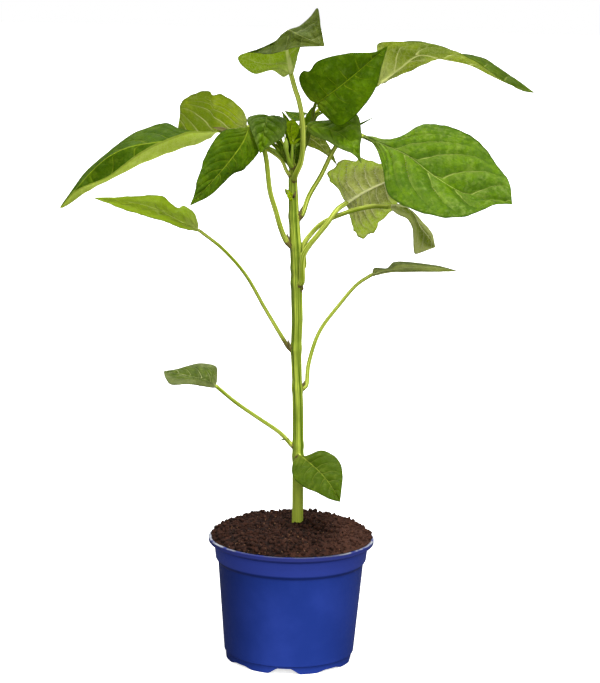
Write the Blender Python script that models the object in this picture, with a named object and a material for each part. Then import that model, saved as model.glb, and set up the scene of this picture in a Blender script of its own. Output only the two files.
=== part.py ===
# Potted sweet pepper plant: one upright stem with its leaves, bedded in compost in a round nursery pot.
# Millimetres in the tables below, metres in the model. +Z is up, X runs to the plant's right and
# -Y is its front. The origin is the centre of the pot's foot, on the surface it stands on.
import math

import bmesh
import bpy
from mathutils import Vector, noise

MM = 0.001
SEAT = 0.3                    # gap between a piece and what it sits on

# ---- pot: a 13.5 cm nursery pot, turned profile as (radius, height) ----
POT_HEIGHT = 100.4
RIM_RADIUS = 67.2
LIP_WIDTH = 3.4
LIP_BOTTOM = 96.3
COLLAR_TOP_RADIUS = 62.6
COLLAR_BOTTOM_RADIUS = 61.3
COLLAR_BOTTOM = 81.5
SHOULDER_RADIUS = 59.0
SHOULDER_HEIGHT = 77.6
WALL_FOOT_RADIUS = 52.9
FOOT_RADIUS = 51.6
FOOT_HEIGHT = 6.0
POT_WALL = 1.1
FLOOR_UNDERSIDE = 4.9
FLOOR_TOP = 6.2
POT_STEPS = 96
NOTCH_COUNT = 8               # drainage notches round the foot
NOTCH_TURN = -93.75           # degrees, the notch nearest the front
NOTCH_HEIGHT = 4.3
NOTCH_HALF_TOP = 6.3          # degrees
NOTCH_HALF_BOTTOM = 14.3      # degrees

# ---- compost ----
SOIL_STEPS = 40
SOIL_EDGE_RADIUS = 65.2       # the heap's edge lies on the pot's lip
SOIL_CROWN_HEIGHT = 112.0
SOIL_LUMPS = 1.3
SOCKET_FLOOR = 90.0

# ---- stem: centre line as (x, height), radius as (height, radius) ----
STEM_LINE = [(4.6, 90.6), (4.4, 135), (3.3, 172), (2.6, 205), (0.3, 240), (0.3, 300), (-1.2, 325), (-3.0, 351),
             (-4.8, 374), (-5.3, 391), (-5.0, 425)]
STEM_RADIUS = [(90.6, 4.4), (135, 4.2), (301, 4.1), (352, 3.9), (374, 3.5), (392, 3.5), (405, 2.9), (425, 1.2)]
STEM_STEPS = 14
NODE_SWELL = 0.5
NODE_REACH = 5.0

# ---- leaves ----
BLADE_THICKNESS = 0.6
BLADE_RINGS = 9
PETIOLE_RINGS = 8
ACROSS = (-1.0, -0.5, 0.0, 0.5, 1.0)

LEAF_COLORS = {"dark": (0.05, 0.13, 0.015), "mid": (0.12, 0.24, 0.03), "bright": (0.11, 0.28, 0.04),
               "grey": (0.14, 0.22, 0.06), "pale": (0.28, 0.38, 0.08)}

# Each leaf: the node it grows from as (height, turn round the stem in degrees), the petiole's radius at
# the foot and at the blade, and the guide curves. Petiole and midrib run from foot to tip, and the left
# and right margins from the blade's base to its tip, as seen from above with the tip ahead. cup is how
# far the left and the right half bulge up (or sag) between midrib and margin.
LEAVES = [
    dict(name="low_right_leaf", node=(167, -82), stalk=(1.5, 1.1), tone="grey", cup=(2, 2),
         petiole=[],
         midrib=[(5, -12, 171), (16, -20, 164), (23, -27, 159), (31, -36, 151), (38, -46, 141)],
         left=[(10, -12, 170), (23, -13, 175), (36, -17, 169), (40, -27, 159), (39, -40, 149)],
         right=[(2, -16, 166), (3, -26, 155), (15, -37, 148), (31, -47, 144)]),
    dict(name="low_left_leaf", node=(176, -172), stalk=(1.8, 1.4), tone="grey", cup=(2, 2),
         petiole=[(-12, -6, 188), (-27, -11, 199), (-46, -17, 213)],
         midrib=[(-62, -22, 227), (-70, -25, 232), (-85, -31, 237), (-103, -38, 241)],
         left=[(-64, -28, 227), (-72, -38, 230), (-83, -48, 233), (-96, -51, 233), (-101, -45, 237)],
         right=[(-60, -17, 234), (-66, -9, 241), (-77, -9, 243), (-87, -15, 241), (-95, -26, 240)]),
    dict(name="mid_right_leaf", node=(223, 10), stalk=(2.0, 1.5), tone="grey", cup=(-1, -2),
         petiole=[(11, 4, 243), (19, 8, 268), (34, 14, 291), (47, 19, 306)],
         midrib=[(60, 23, 313), (71, 28, 316), (92, 36, 318), (112, 44, 317), (131, 52, 314)],
         left=[(61, 31, 317), (74, 47, 318), (93, 59, 319), (116, 59, 317)],
         right=[(62, 14, 314), (73, 10, 318), (92, 14, 318), (114, 32, 316)]),
    dict(name="mid_left_leaf", node=(255, -176), stalk=(2.0, 1.4), tone="pale", cup=(1, -2),
         petiole=[(-24, -8, 288), (-40, -14, 316), (-58, -20, 337)],
         midrib=[(-77, -24, 351), (-84, -27, 355), (-92, -30, 359), (-101, -33, 364),
                (-111, -36, 369), (-126, -40, 373), (-143, -43, 375), (-158, -45, 377)],
         left=[(-80, -29, 352), (-89, -36, 355), (-102, -46, 361), (-115, -51, 365),
              (-129, -54, 369), (-143, -53, 373)],
         right=[(-79, -17, 357), (-82, -12, 363), (-86, -8, 367), (-91, -6, 369), (-95, -8, 367),
               (-102, -10, 371), (-108, -12, 376), (-117, -16, 377), (-125, -20, 376),
               (-134, -26, 377), (-146, -35, 377)]),
    dict(name="pale_back_leaf", node=(308, -24), stalk=(2.7, 2.1), tone="pale", cup=(2, 2),
         petiole=[(5, -8, 327), (10, -10, 338), (19, -11, 352), (28, -7, 365)],
         midrib=[(37, 4, 372), (51, 24, 379), (67, 44, 385), (92, 72, 392)],
         left=[(40, 7, 366), (43, 12, 357), (46, 16, 349), (51, 21, 343), (56, 25, 345),
              (60, 30, 347), (65, 37, 353), (74, 49, 362), (85, 62, 374)],
         right=[(34, 4, 378), (30, 5, 385), (24, 6, 390), (23, 9, 396), (30, 14, 402),
               (39, 21, 405), (50, 33, 405), (65, 47, 402), (80, 60, 398)]),
    dict(name="drooping_leaf", node=(320, 22), stalk=(2.5, 1.9), tone="mid", cup=(-2, 1),
         petiole=[(5, 2, 337), (10, 2, 347), (21, 0, 357), (41, -1, 367), (59, -2, 371)],
         midrib=[(71, -3, 371), (87, 1, 368), (96, 4, 355), (104, 7, 346), (110, 10, 338)],
         left=[(77, -12, 367), (86, -19, 363), (90, -22, 355), (91, -18, 344), (93, -12, 335),
              (103, 1, 334)],
         right=[(79, 8, 373), (92, 18, 368), (102, 24, 359), (108, 22, 350)]),
    dict(name="dark_left_leaf", node=(339, -165), stalk=(2.3, 2.0), tone="dark", cup=(2, 2),
         petiole=[(-13, -6, 353), (-17, -8, 367), (-22, -10, 383), (-26, -11, 410), (-32, -9, 424)],
         midrib=[(-40, -9, 432), (-44, -18, 421), (-53, -29, 408), (-63, -41, 396), (-83, -62, 374)],
         left=[(-33, -6, 422), (-33, -12, 414), (-39, -20, 406), (-44, -26, 401), (-53, -32, 397),
              (-68, -50, 383)],
         right=[(-49, -15, 431), (-62, -24, 428), (-72, -36, 413), (-77, -48, 397), (-80, -56, 383)]),
    dict(name="big_right_leaf", node=(361, -8), stalk=(2.3, 2.0), tone="bright", cup=(4, 4),
         petiole=[(8, 2, 378), (17, 4, 394), (28, 2, 417), (39, -5, 428)],
         midrib=[(48, -10, 427), (68, -18, 420), (85, -28, 413), (106, -38, 398), (132, -46, 385),
                (164, -52, 380)],
         left=[(61, -6, 423), (76, -4, 425), (96, -2, 436), (116, -8, 436), (138, -20, 426),
              (153, -31, 408), (162, -41, 396)],
         right=[(58, -16, 420), (64, -32, 405), (70, -52, 384), (96, -68, 374), (124, -71, 372),
               (149, -62, 378)]),
    dict(name="long_left_leaf", node=(395, -150), stalk=(1.8, 1.4), tone="dark", cup=(-12, 0),
         petiole=[(-15, -3, 407), (-28, 1, 414), (-48, 4, 421)],
         midrib=[(-65, 3, 425), (-91, 0, 421), (-114, -4, 418), (-137, -9, 412), (-157, -14, 399),
                (-187, -20, 366)],
         left=[(-76, -10, 425), (-91, -20, 427), (-107, -28, 420), (-131, -34, 405),
              (-154, -30, 387), (-173, -24, 376)],
         right=[(-80, 12, 426), (-96, 17, 428), (-108, 20, 431), (-122, 20, 428), (-139, 17, 418),
               (-156, 11, 405), (-170, 2, 390), (-181, -9, 376)]),
    dict(name="top_leaf", node=(392, -70), stalk=(2.2, 1.9), tone="mid", cup=(-2, -2),
         petiole=[(1, -8, 405), (3, -11, 420), (2, -13, 438), (-1, -14, 453), (-5, -13, 463)],
         midrib=[(-8, -12, 473), (-12, -14, 491), (-12, -24, 508), (-1, -42, 504), (17, -58, 497)],
         left=[(-6, -9, 479), (-3, -8, 493), (2, -12, 510), (6, -18, 517), (11, -26, 525),
              (14, -46, 511)],
         right=[(-14, -11, 472), (-23, -9, 477), (-36, -7, 474), (-45, -6, 479), (-50, -7, 486),
               (-46, -10, 490), (-31, -22, 491), (-15, -38, 492), (1, -53, 495)]),
    dict(name="upper_right_leaf", node=(400, 25), stalk=(1.6, 1.2), tone="dark", cup=(3, 3),
         petiole=[(6, 4, 423), (9, 3, 436), (10, -6, 446)],
         midrib=[(11, -14, 451), (26, -15, 462), (42, -11, 475), (67, 1, 497)],
         left=[(6, -19, 455), (0, -23, 464), (-2, -24, 472), (1, -24, 477), (6, -24, 477),
              (13, -21, 485), (36, -12, 491), (56, -3, 492)],
         right=[(17, -18, 444), (31, -26, 435), (46, -24, 449), (57, -16, 465), (62, -4, 481)]),
    dict(name="far_right_leaf", node=(404, 70), stalk=(1.7, 1.4), tone="mid", cup=(1, 0),
         petiole=[(4, 17, 422), (12, 18, 442), (27, 17, 455), (43, 14, 461)],
         midrib=[(59, 14, 465), (76, 18, 478), (93, 22, 490), (114, 26, 487), (134, 30, 483),
                (151, 35, 476), (169, 40, 468), (188, 46, 462)],
         left=[(69, 22, 469), (89, 34, 478), (111, 46, 486), (134, 52, 492), (159, 54, 481)],
         right=[(60, 10, 485), (60, 11, 494), (67, 8, 498), (77, 4, 500), (95, 2, 501),
               (116, 3, 496), (127, 7, 491), (146, 14, 481), (162, 22, 471), (176, 34, 464)]),
    dict(name="upper_left_leaf", node=(401, 140), stalk=(1.5, 1.2), tone="pale", cup=(0, 0),
         petiole=[(-13, 8, 412), (-24, 12, 424)],
         midrib=[(-41, 12, 431), (-60, 22, 429), (-81, 38, 425), (-100, 60, 428)],
         left=[(-43, 8, 438), (-46, 6, 444), (-54, 8, 451), (-63, 11, 455), (-70, 14, 455),
              (-73, 17, 458), (-85, 26, 455), (-94, 37, 450), (-98, 46, 444), (-98, 53, 438)],
         right=[(-48, 26, 431), (-69, 44, 434), (-89, 58, 437)]),
    dict(name="left_crown_leaf", node=(406, 175), stalk=(1.3, 1.0), tone="dark", cup=(1, 1),
         petiole=[(-13, 8, 416), (-19, 10, 430)],
         midrib=[(-23, 6, 438), (-26, -4, 440), (-28, -16, 429), (-31, -22, 412)],
         left=[(-14, 4, 439), (-11, -6, 435), (-13, -15, 425), (-22, -20, 419)],
         right=[(-35, 6, 440), (-42, -4, 438), (-38, -14, 428), (-34, -19, 419)]),
    dict(name="right_crown_leaf", node=(397, -25), stalk=(1.3, 1.0), tone="dark", cup=(1, 1),
         petiole=[(2, -5, 418)],
         midrib=[(4, -9, 433), (17, -13, 433), (32, -18, 428), (42, -24, 418), (48, -28, 407)],
         left=[(8, -5, 437), (25, -3, 439), (43, -5, 444), (48, -12, 430), (47, -20, 417)],
         right=[(9, -13, 427), (20, -18, 423), (30, -24, 418), (41, -28, 414)]),
    dict(name="under_crown_leaf", node=(410, 35), stalk=(1.1, 0.8), tone="pale", cup=(0, 0),
         petiole=[(1, 9, 419)],
         midrib=[(5, 11, 424), (15, 14, 417), (30, 18, 401)],
         left=[(5, 6, 418), (14, 7, 414), (23, 12, 408)],
         right=[(12, 15, 427), (20, 20, 421), (26, 21, 411)]),
    dict(name="back_crown_leaf", node=(412, 110), stalk=(1.1, 0.8), tone="dark", cup=(0, 0),
         petiole=[(-2, 9, 421)],
         midrib=[(0, 14, 438), (-5, 18, 440), (-13, 25, 443)],
         left=[(2, 11, 437), (-4, 11, 436), (-9, 16, 438)],
         right=[(5, 20, 442), (-1, 26, 442), (-8, 30, 442)]),
    dict(name="young_leaf", node=(410, -95), stalk=(1.0, 0.7), tone="pale", cup=(-1, -1),
         petiole=[(-5, -6, 416)],
         midrib=[(-6, -7, 421), (-7, -8, 430), (-6, -8, 439)],
         left=[(-10, -5, 427), (-11, -5, 435)],
         right=[(-2, -5, 426), (-1, -5, 433)]),
]
SWOLLEN_NODES = 8             # the first leaves stand on swollen joints of the stem

# Buds in the leaves' axils: node as above, and how far the bud leans out for each unit that it rises.
BUD_STEPS = 8
BUD_BROWN = (0.08, 0.08, 0.03)
YOUNG_GREEN = (0.40, 0.50, 0.12)
BUDS = [
    dict(name="axil_bud_low", node=(231.5, 0), length=2.4, radius=1.0, lean=0.5, color=BUD_BROWN),
    dict(name="axil_bud_left", node=(346, 180), length=3.2, radius=1.2, lean=0.6, color=BUD_BROWN),
    dict(name="axil_bud_right", node=(371, -5), length=3.4, radius=1.3, lean=0.5, color=BUD_BROWN),
    dict(name="axil_bud_front", node=(301, -12), length=4.5, radius=1.1, lean=0.1, color=BUD_BROWN),
    dict(name="bract_left", node=(381, 188), length=4.2, radius=1.1, lean=0.9, color=YOUNG_GREEN),
    dict(name="axil_bud_mid_left", node=(262, 185), length=2.6, radius=1.1, lean=0.4, color=BUD_BROWN),
]
FLOWER = dict(node=(400, -120), stalk=[(-9, -6, 408), (-12, -7, 416), (-13, -7, 422), (-13, -7, 426)],
              radii=(1.6, 1.2, 1.1, 1.1, 2.1, 2.2, 0.6))

# ---- curves ----

def smooth_point(points, share):
    """The point at a share (0 to 1) of the length of a smooth curve through the points."""
    knots = [0.0]
    for a, b in zip(points, points[1:]):
        knots.append(knots[-1] + math.sqrt((b - a).length))
    slopes = []
    for i in range(len(points)):
        a, b = max(i - 1, 0), min(i + 1, len(points) - 1)
        slopes.append((points[b] - points[a]) / (knots[b] - knots[a]))
    place = min(max(share, 0.0), 1.0) * knots[-1]
    i = 0
    while i < len(points) - 2 and knots[i + 1] < place:
        i += 1
    step = knots[i + 1] - knots[i]
    s = (place - knots[i]) / step
    return (points[i] * (2 * s ** 3 - 3 * s ** 2 + 1) + slopes[i] * step * (s ** 3 - 2 * s ** 2 + s)
            + points[i + 1] * (3 * s ** 2 - 2 * s ** 3) + slopes[i + 1] * step * (s ** 3 - s ** 2))


def interpolate(table, x):
    """Straight-line value between the rows (x, value) of a table."""
    if x <= table[0][0]:
        return table[0][1]
    for (x0, y0), (x1, y1) in zip(table, table[1:]):
        if x <= x1:
            return y0 + (y1 - y0) * (x - x0) / (x1 - x0)
    return table[-1][1]


# ---- mesh helpers ----

def make_material(name, color, roughness):
    material = bpy.data.materials.new(name)
    material.use_nodes = True
    shader = material.node_tree.nodes["Principled BSDF"]
    shader.inputs["Base Color"].default_value = (*color, 1.0)
    shader.inputs["Roughness"].default_value = roughness
    shader.inputs["Metallic"].default_value = 0.0
    material.diffuse_color = (*color, 1.0)
    return material


def make_object(name, bm, material, sharp_angle=40):
    bmesh.ops.recalc_face_normals(bm, faces=bm.faces)
    bmesh.ops.scale(bm, vec=(MM, MM, MM), verts=bm.verts)
    mesh = bpy.data.meshes.new(name)
    bm.to_mesh(mesh)
    bm.free()
    mesh.shade_smooth()
    mesh.set_sharp_from_angle(angle=math.radians(sharp_angle))
    mesh.materials.append(material)
    obj = bpy.data.objects.new(name, mesh)
    bpy.context.scene.collection.objects.link(obj)
    return obj


def loft(rings):
    """A closed solid through rings of equal point count: each ring is extruded into the next."""
    bm = bmesh.new()
    current = bmesh.ops.create_circle(bm, segments=len(rings[0]), radius=1.0)["verts"]
    for vert, point in zip(current, rings[0]):
        vert.co = point
    for ring in rings[1:]:
        place = {vert: i for i, vert in enumerate(current)}
        edges = [e for e in bm.edges if e.verts[0] in place and e.verts[1] in place]
        grown = bmesh.ops.extrude_edge_only(bm, edges=edges)["geom"]
        following = [None] * len(ring)
        for vert in (g for g in grown if isinstance(g, bmesh.types.BMVert)):
            source = next(e.other_vert(vert) for e in vert.link_edges if e.other_vert(vert) in place)
            following[place[source]] = vert
            vert.co = ring[place[source]]
        current = following
    bmesh.ops.holes_fill(bm, edges=[e for e in bm.edges if e.is_boundary], sides=0)
    # the shorter diagonal everywhere, so that a blade's two sides are creased alike
    bmesh.ops.triangulate(bm, faces=bm.faces, quad_method="SHORT_EDGE")
    return bm


def round_ring(center, side, up, radius, count):
    """Points round a circle, the upper half first, from the left side to the right and back below."""
    ring = []
    for i in range(count):
        angle = math.pi * (1 - (2 * i + 1) / count)
        ring.append(center + (side * math.cos(angle) + up * math.sin(angle)) * radius)
    return ring


# ---- pot ----

def notch_lift(angle):
    """How far the foot's lower edge is raised at an angle round the pot, in degrees."""
    pitch = 360 / NOTCH_COUNT
    off = abs((angle - NOTCH_TURN + pitch / 2) % pitch - pitch / 2)
    slope = (NOTCH_HALF_BOTTOM - off) / (NOTCH_HALF_BOTTOM - NOTCH_HALF_TOP)
    return NOTCH_HEIGHT * min(max(slope, 0.0), 1.0)


def make_pot():
    inner = RIM_RADIUS - LIP_WIDTH
    profile = [
        (0, FLOOR_UNDERSIDE), (FOOT_RADIUS - POT_WALL, FLOOR_UNDERSIDE), (FOOT_RADIUS - POT_WALL, 0),
        (FOOT_RADIUS, 0), (FOOT_RADIUS + 0.2, FOOT_HEIGHT), (WALL_FOOT_RADIUS, FOOT_HEIGHT + 0.7),
        (SHOULDER_RADIUS, SHOULDER_HEIGHT), (COLLAR_BOTTOM_RADIUS, COLLAR_BOTTOM),
        (COLLAR_TOP_RADIUS, LIP_BOTTOM - 1.4), (COLLAR_TOP_RADIUS + 1.2, LIP_BOTTOM - 0.5),
        (RIM_RADIUS - 0.6, LIP_BOTTOM), (RIM_RADIUS, LIP_BOTTOM + 0.7), (RIM_RADIUS, POT_HEIGHT - 0.7),
        (RIM_RADIUS - 0.7, POT_HEIGHT), (inner, POT_HEIGHT - 0.4), (inner - 0.8, POT_HEIGHT - 1.6),
        (COLLAR_TOP_RADIUS - POT_WALL, LIP_BOTTOM - 2.0),
        (COLLAR_BOTTOM_RADIUS - POT_WALL, COLLAR_BOTTOM - 0.3),
        (SHOULDER_RADIUS - POT_WALL, SHOULDER_HEIGHT - 0.6),
        (WALL_FOOT_RADIUS - POT_WALL, FLOOR_TOP), (0, FLOOR_TOP)]
    bm = bmesh.new()
    verts = [bm.verts.new((radius, 0, height)) for radius, height in profile]
    edges = [bm.edges.new(pair) for pair in zip(verts, verts[1:])]
    bmesh.ops.spin(bm, geom=verts + edges, axis=(0, 0, 1), cent=(0, 0, 0), angle=2 * math.pi,
                   steps=POT_STEPS, use_merge=True)
    bmesh.ops.remove_doubles(bm, verts=bm.verts, dist=0.001)
    for vert in bm.verts:
        if vert.co.z < 0.01:
            vert.co.z = notch_lift(math.degrees(math.atan2(vert.co.y, vert.co.x)))
    bmesh.ops.triangulate(bm, faces=bm.faces)
    return make_object("pot", bm, make_material("pot_blue", (0.02, 0.04, 0.30), 0.42), 30)


# ---- compost ----

def make_soil():
    """The compost plug: it fills the pot, heaps up over the lip and leaves a socket for the stem."""
    foot_x = STEM_LINE[0][0]
    socket = interpolate(STEM_RADIUS, SOIL_CROWN_HEIGHT) + SEAT
    edge = POT_HEIGHT + SEAT
    throat = RIM_RADIUS - LIP_WIDTH - 0.8 - SEAT
    wall = [(WALL_FOOT_RADIUS - POT_WALL - 1.0, FLOOR_TOP + SEAT),
            (SHOULDER_RADIUS - POT_WALL - SEAT, SHOULDER_HEIGHT),
            (COLLAR_TOP_RADIUS - POT_WALL - SEAT, LIP_BOTTOM - 2.0),
            (throat, POT_HEIGHT - 1.6), (throat, edge), (SOIL_EDGE_RADIUS, edge)]
    rings = [turned_ring(0, radius, height) for radius, height in wall]
    for share in (0.97, 0.88, 0.75, 0.6, 0.4, 0.2):
        radius = socket + (SOIL_EDGE_RADIUS - socket) * share
        height = edge + (SOIL_CROWN_HEIGHT - edge) * (1 - share ** 4)
        ring = turned_ring(foot_x * (1 - share), radius, height)
        for point in ring:
            point.z += SOIL_LUMPS * (1 - share ** 4) * noise.noise(point * 0.11)
        rings.append(ring)
    rings.append(turned_ring(foot_x, socket, SOIL_CROWN_HEIGHT))
    rings.append(turned_ring(foot_x, socket, SOCKET_FLOOR))
    return make_object("soil", loft(rings), make_material("compost", (0.035, 0.015, 0.010), 0.95), 50)


def turned_ring(center_x, radius, height):
    turn = 2 * math.pi / SOIL_STEPS
    return [Vector((center_x + radius * math.cos(i * turn), radius * math.sin(i * turn), height))
            for i in range(SOIL_STEPS)]


# ---- stem ----

def stem_center(height):
    return Vector((interpolate([(z, x) for x, z in STEM_LINE], height), 0, height))


def stem_radius(height):
    swell = 0.0
    for leaf in LEAVES[:SWOLLEN_NODES]:
        swell += max(0.0, 1 - abs(height - leaf["node"][0]) / NODE_REACH)
    return interpolate(STEM_RADIUS, height) + NODE_SWELL * swell


def make_stem():
    """The stem, with a ring wherever its radius or its centre line changes slope."""
    heights = {z for _, z in STEM_LINE} | {z for z, _ in STEM_RADIUS}
    for leaf in LEAVES[:SWOLLEN_NODES]:
        heights |= {leaf["node"][0] + step * NODE_REACH for step in (-1, 0, 1)}
    heights = sorted(heights)
    rings = [round_ring(stem_center(z), Vector((1, 0, 0)), Vector((0, 1, 0)), stem_radius(z), STEM_STEPS)
             for z in heights]
    return make_object("stem", loft(rings), make_material("stem_green", (0.22, 0.32, 0.06), 0.5), 50)


def on_stem(height, turn, reach):
    """A point beside the stem, at a height and a turn in degrees, a reach away from its centre."""
    angle = math.radians(turn)
    return stem_center(height) + Vector((math.cos(angle), math.sin(angle), 0)) * reach


def foot_rings(height, turn, wide, tall, count):
    """Two rings wrapped on the stem's side, a seat's gap away: the foot of whatever grows there."""
    rings = []
    for size in (0.4, 1.0):
        ring = []
        for i in range(count):
            angle = math.pi * (1 - (2 * i + 1) / count)
            level = height + size * tall * math.sin(angle)
            reach = stem_radius(level) + SEAT
            spread = math.degrees(size * wide * math.cos(angle) / reach)
            ring.append(on_stem(level, turn - spread, reach))
        rings.append(ring)
    return rings


# ---- leaves ----

def blade_point(leaf, along, across):
    """A point of the blade's middle surface, and its upper side's direction there."""
    base, tip = leaf["midrib"][0], leaf["midrib"][-1]
    mid = smooth_point(leaf["midrib"], along)
    ahead = smooth_point(leaf["midrib"], along + 0.02) - smooth_point(leaf["midrib"], along - 0.02)
    left = smooth_point([base, *leaf["left"], tip], along)
    right = smooth_point([base, *leaf["right"], tip], along)
    left_up = (mid - left).cross(ahead).normalized()
    right_up = (right - mid).cross(ahead).normalized()
    if across == 0:
        return mid, (left_up + right_up).normalized()
    edge, up, cup = (left, left_up, leaf["cup"][0]) if across < 0 else (right, right_up, leaf["cup"][1])
    share = abs(across)
    bulge = cup * 4 * share * (1 - share) * math.sin(math.pi * along) ** 0.6
    return mid + (edge - mid) * share + up * bulge, up


def blade_ring(leaf, along, rib):
    """Points round the blade at one place: over the upper side and back under the lower side."""
    over, under = [], []
    for across in ACROSS:
        point, up = blade_point(leaf, along, across)
        over.append(point + up * BLADE_THICKNESS / 2)
        under.append(point - up * (BLADE_THICKNESS / 2 + (rib if across == 0 else 0.0)))
    return over + under[::-1]


def leaf_rings(leaf):
    height, turn = leaf["node"]
    foot_radius, end_radius = leaf["stalk"]
    foot = on_stem(height, turn, stem_radius(height) + SEAT)
    outward = (foot - stem_center(height)).normalized()
    knee = foot + (outward * 1.2 + Vector((0, 0, 1.5))) * foot_radius
    path = [foot, knee, *leaf["petiole"], leaf["midrib"][0]]
    up = blade_point(leaf, 0.06, 0.0)[1]
    rings = []
    for step in range(PETIOLE_RINGS - 1, 0, -1):
        share = step / (PETIOLE_RINGS - 0.6)
        center = smooth_point(path, share)
        ahead = (smooth_point(path, share + 0.01) - smooth_point(path, share - 0.01)).normalized()
        up = (up - ahead * up.dot(ahead)).normalized()
        radius = end_radius + (foot_radius - end_radius) * (1 - share) ** 3
        rings.insert(0, round_ring(center, ahead.cross(up), up, radius, 2 * len(ACROSS)))
    count = len(rings[0])
    seat = foot_rings(height, turn, foot_radius, foot_radius * 1.25, count)
    # the foot's rings start where the petiole's do, so that the skin isn't wrung
    shift = min(range(count), key=lambda k: sum((seat[1][(i + k) % count] - rings[0][i]).length
                                                for i in range(count)))
    rings = [ring[shift:] + ring[:shift] for ring in seat] + rings
    for step in range(BLADE_RINGS):
        along = 0.05 + 0.92 * step / (BLADE_RINGS - 1)
        rings.append(blade_ring(leaf, along, end_radius * (1 - along)))
    tip_side = leaf["right"][-1] - leaf["left"][-1]
    tip_ahead = (leaf["midrib"][-1] - leaf["midrib"][-2]).normalized()
    tip_side = (tip_side - tip_ahead * tip_side.dot(tip_ahead)).normalized()
    rings.append(round_ring(leaf["midrib"][-1], tip_side, tip_side.cross(tip_ahead), 0.3, 2 * len(ACROSS)))
    return rings


def make_leaf(leaf):
    for key in ("petiole", "midrib", "left", "right"):
        leaf[key] = [Vector(point) for point in leaf[key]]
    color = LEAF_COLORS[leaf["tone"]]
    return make_object(leaf["name"], loft(leaf_rings(leaf)), make_material(leaf["name"], color, 0.45), 60)


# ---- buds ----

def make_bud(bud):
    """A small pointed bud in a leaf's axil, its foot against the stem."""
    height, turn = bud["node"]
    radius = bud["radius"]
    foot = on_stem(height, turn, stem_radius(height) + SEAT)
    outward = (foot - stem_center(height)).normalized()
    ahead = (outward * bud["lean"] + Vector((0, 0, 1))).normalized()
    up = (Vector((0, 0, 1)) - ahead * ahead.z).normalized()
    side = outward.cross(Vector((0, 0, 1)))
    rings = foot_rings(height, turn, radius, radius, BUD_STEPS)
    for share, swell in ((0.35, 1.0), (0.7, 0.75), (1.0, 0.2)):
        center = foot + outward * radius + ahead * bud["length"] * share
        rings.append(round_ring(center, side, side.cross(ahead), radius * swell, BUD_STEPS))
    return make_object(bud["name"], loft(rings), make_material(bud["name"], bud["color"], 0.6), 60)


def make_flower_bud():
    """A round closed flower bud on its curved stalk."""
    height, turn = FLOWER["node"]
    foot = on_stem(height, turn, stem_radius(height) + SEAT)
    outward = (foot - stem_center(height)).normalized()
    path = [foot] + [Vector(point) for point in FLOWER["stalk"]]
    rings = foot_rings(height, turn, FLOWER["radii"][0], FLOWER["radii"][0], BUD_STEPS)
    up = Vector((0, 0, 1))
    for step, radius in list(enumerate(FLOWER["radii"]))[1:]:
        share = step / (len(FLOWER["radii"]) - 1)
        ahead = (smooth_point(path, share + 0.02) - smooth_point(path, share - 0.02)).normalized()
        up = (up - outward * 0.5 - ahead * (up - outward * 0.5).dot(ahead)).normalized()
        rings.append(round_ring(smooth_point(path, share), ahead.cross(up), up, radius, BUD_STEPS))
    return make_object("flower_bud", loft(rings), make_material("flower_bud", YOUNG_GREEN, 0.5), 60)


def main():
    for obj in list(bpy.data.objects):
        bpy.data.objects.remove(obj, do_unlink=True)
    make_pot()
    make_soil()
    make_stem()
    for leaf in LEAVES:
        make_leaf(leaf)
    for bud in BUDS:
        make_bud(bud)
    make_flower_bud()


main()
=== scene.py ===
# Potted sweet pepper plant: leaves, stem, compost and nursery pot dressed over the CAD frame.
import math
import random
from functools import partial

import bmesh
import bpy
from mathutils import Matrix, Vector, noise


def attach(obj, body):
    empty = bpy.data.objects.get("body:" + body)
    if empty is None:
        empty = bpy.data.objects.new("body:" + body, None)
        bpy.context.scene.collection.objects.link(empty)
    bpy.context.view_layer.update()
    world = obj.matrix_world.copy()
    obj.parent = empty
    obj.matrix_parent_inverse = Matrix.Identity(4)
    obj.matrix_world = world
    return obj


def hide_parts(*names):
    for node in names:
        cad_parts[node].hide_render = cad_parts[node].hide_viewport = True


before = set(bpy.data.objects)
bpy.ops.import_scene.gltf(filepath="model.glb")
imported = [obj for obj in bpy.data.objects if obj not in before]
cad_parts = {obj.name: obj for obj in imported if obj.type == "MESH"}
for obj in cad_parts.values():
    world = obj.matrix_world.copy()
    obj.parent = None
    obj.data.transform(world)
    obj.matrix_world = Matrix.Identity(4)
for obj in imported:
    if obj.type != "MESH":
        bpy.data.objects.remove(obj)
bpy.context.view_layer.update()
mm = 0.001                     # tables are in millimetres, the model in metres
weld = 0.0005                  # points of a skin that are closer than this become one
random.seed(7)

# ---- small helpers for curves and meshes ----


def smoothPoint(points, share):
    # a smooth curve through the points, read at a share of its length
    knots = [0.0]
    for a, b in zip(points, points[1:]):
        knots.append(knots[-1] + math.sqrt((b - a).length))
    slopes = []
    for i in range(len(points)):
        a, b = max(i - 1, 0), min(i + 1, len(points) - 1)
        slopes.append((points[b] - points[a]) / (knots[b] - knots[a]))
    place = min(max(share, 0.0), 1.0) * knots[-1]
    i = 0
    while i < len(points) - 2 and knots[i + 1] < place:
        i += 1
    step = knots[i + 1] - knots[i]
    s = (place - knots[i]) / step
    return (points[i] * (2 * s ** 3 - 3 * s ** 2 + 1) + slopes[i] * step * (s ** 3 - 2 * s ** 2 + s)
            + points[i + 1] * (3 * s ** 2 - 2 * s ** 3) + slopes[i + 1] * step * (s ** 3 - s ** 2))


def wayAhead(points, share, near):
    return (smoothPoint(points, share + near) - smoothPoint(points, share - near)).normalized()


def pathLength(points):
    return sum((b - a).length for a, b in zip(points, points[1:]))


def tableValue(table, x):
    # straight-line value between rows (x, value)
    if x <= table[0][0]:
        return table[0][1]
    for (x0, y0), (x1, y1) in zip(table, table[1:]):
        if x <= x1:
            return y0 + (y1 - y0) * (x - x0) / (x1 - x0)
    return table[-1][1]


def ease(low, high, x):
    s = min(max((x - low) / (high - low), 0.0), 1.0)
    return s * s * (3 - 2 * s)


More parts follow.
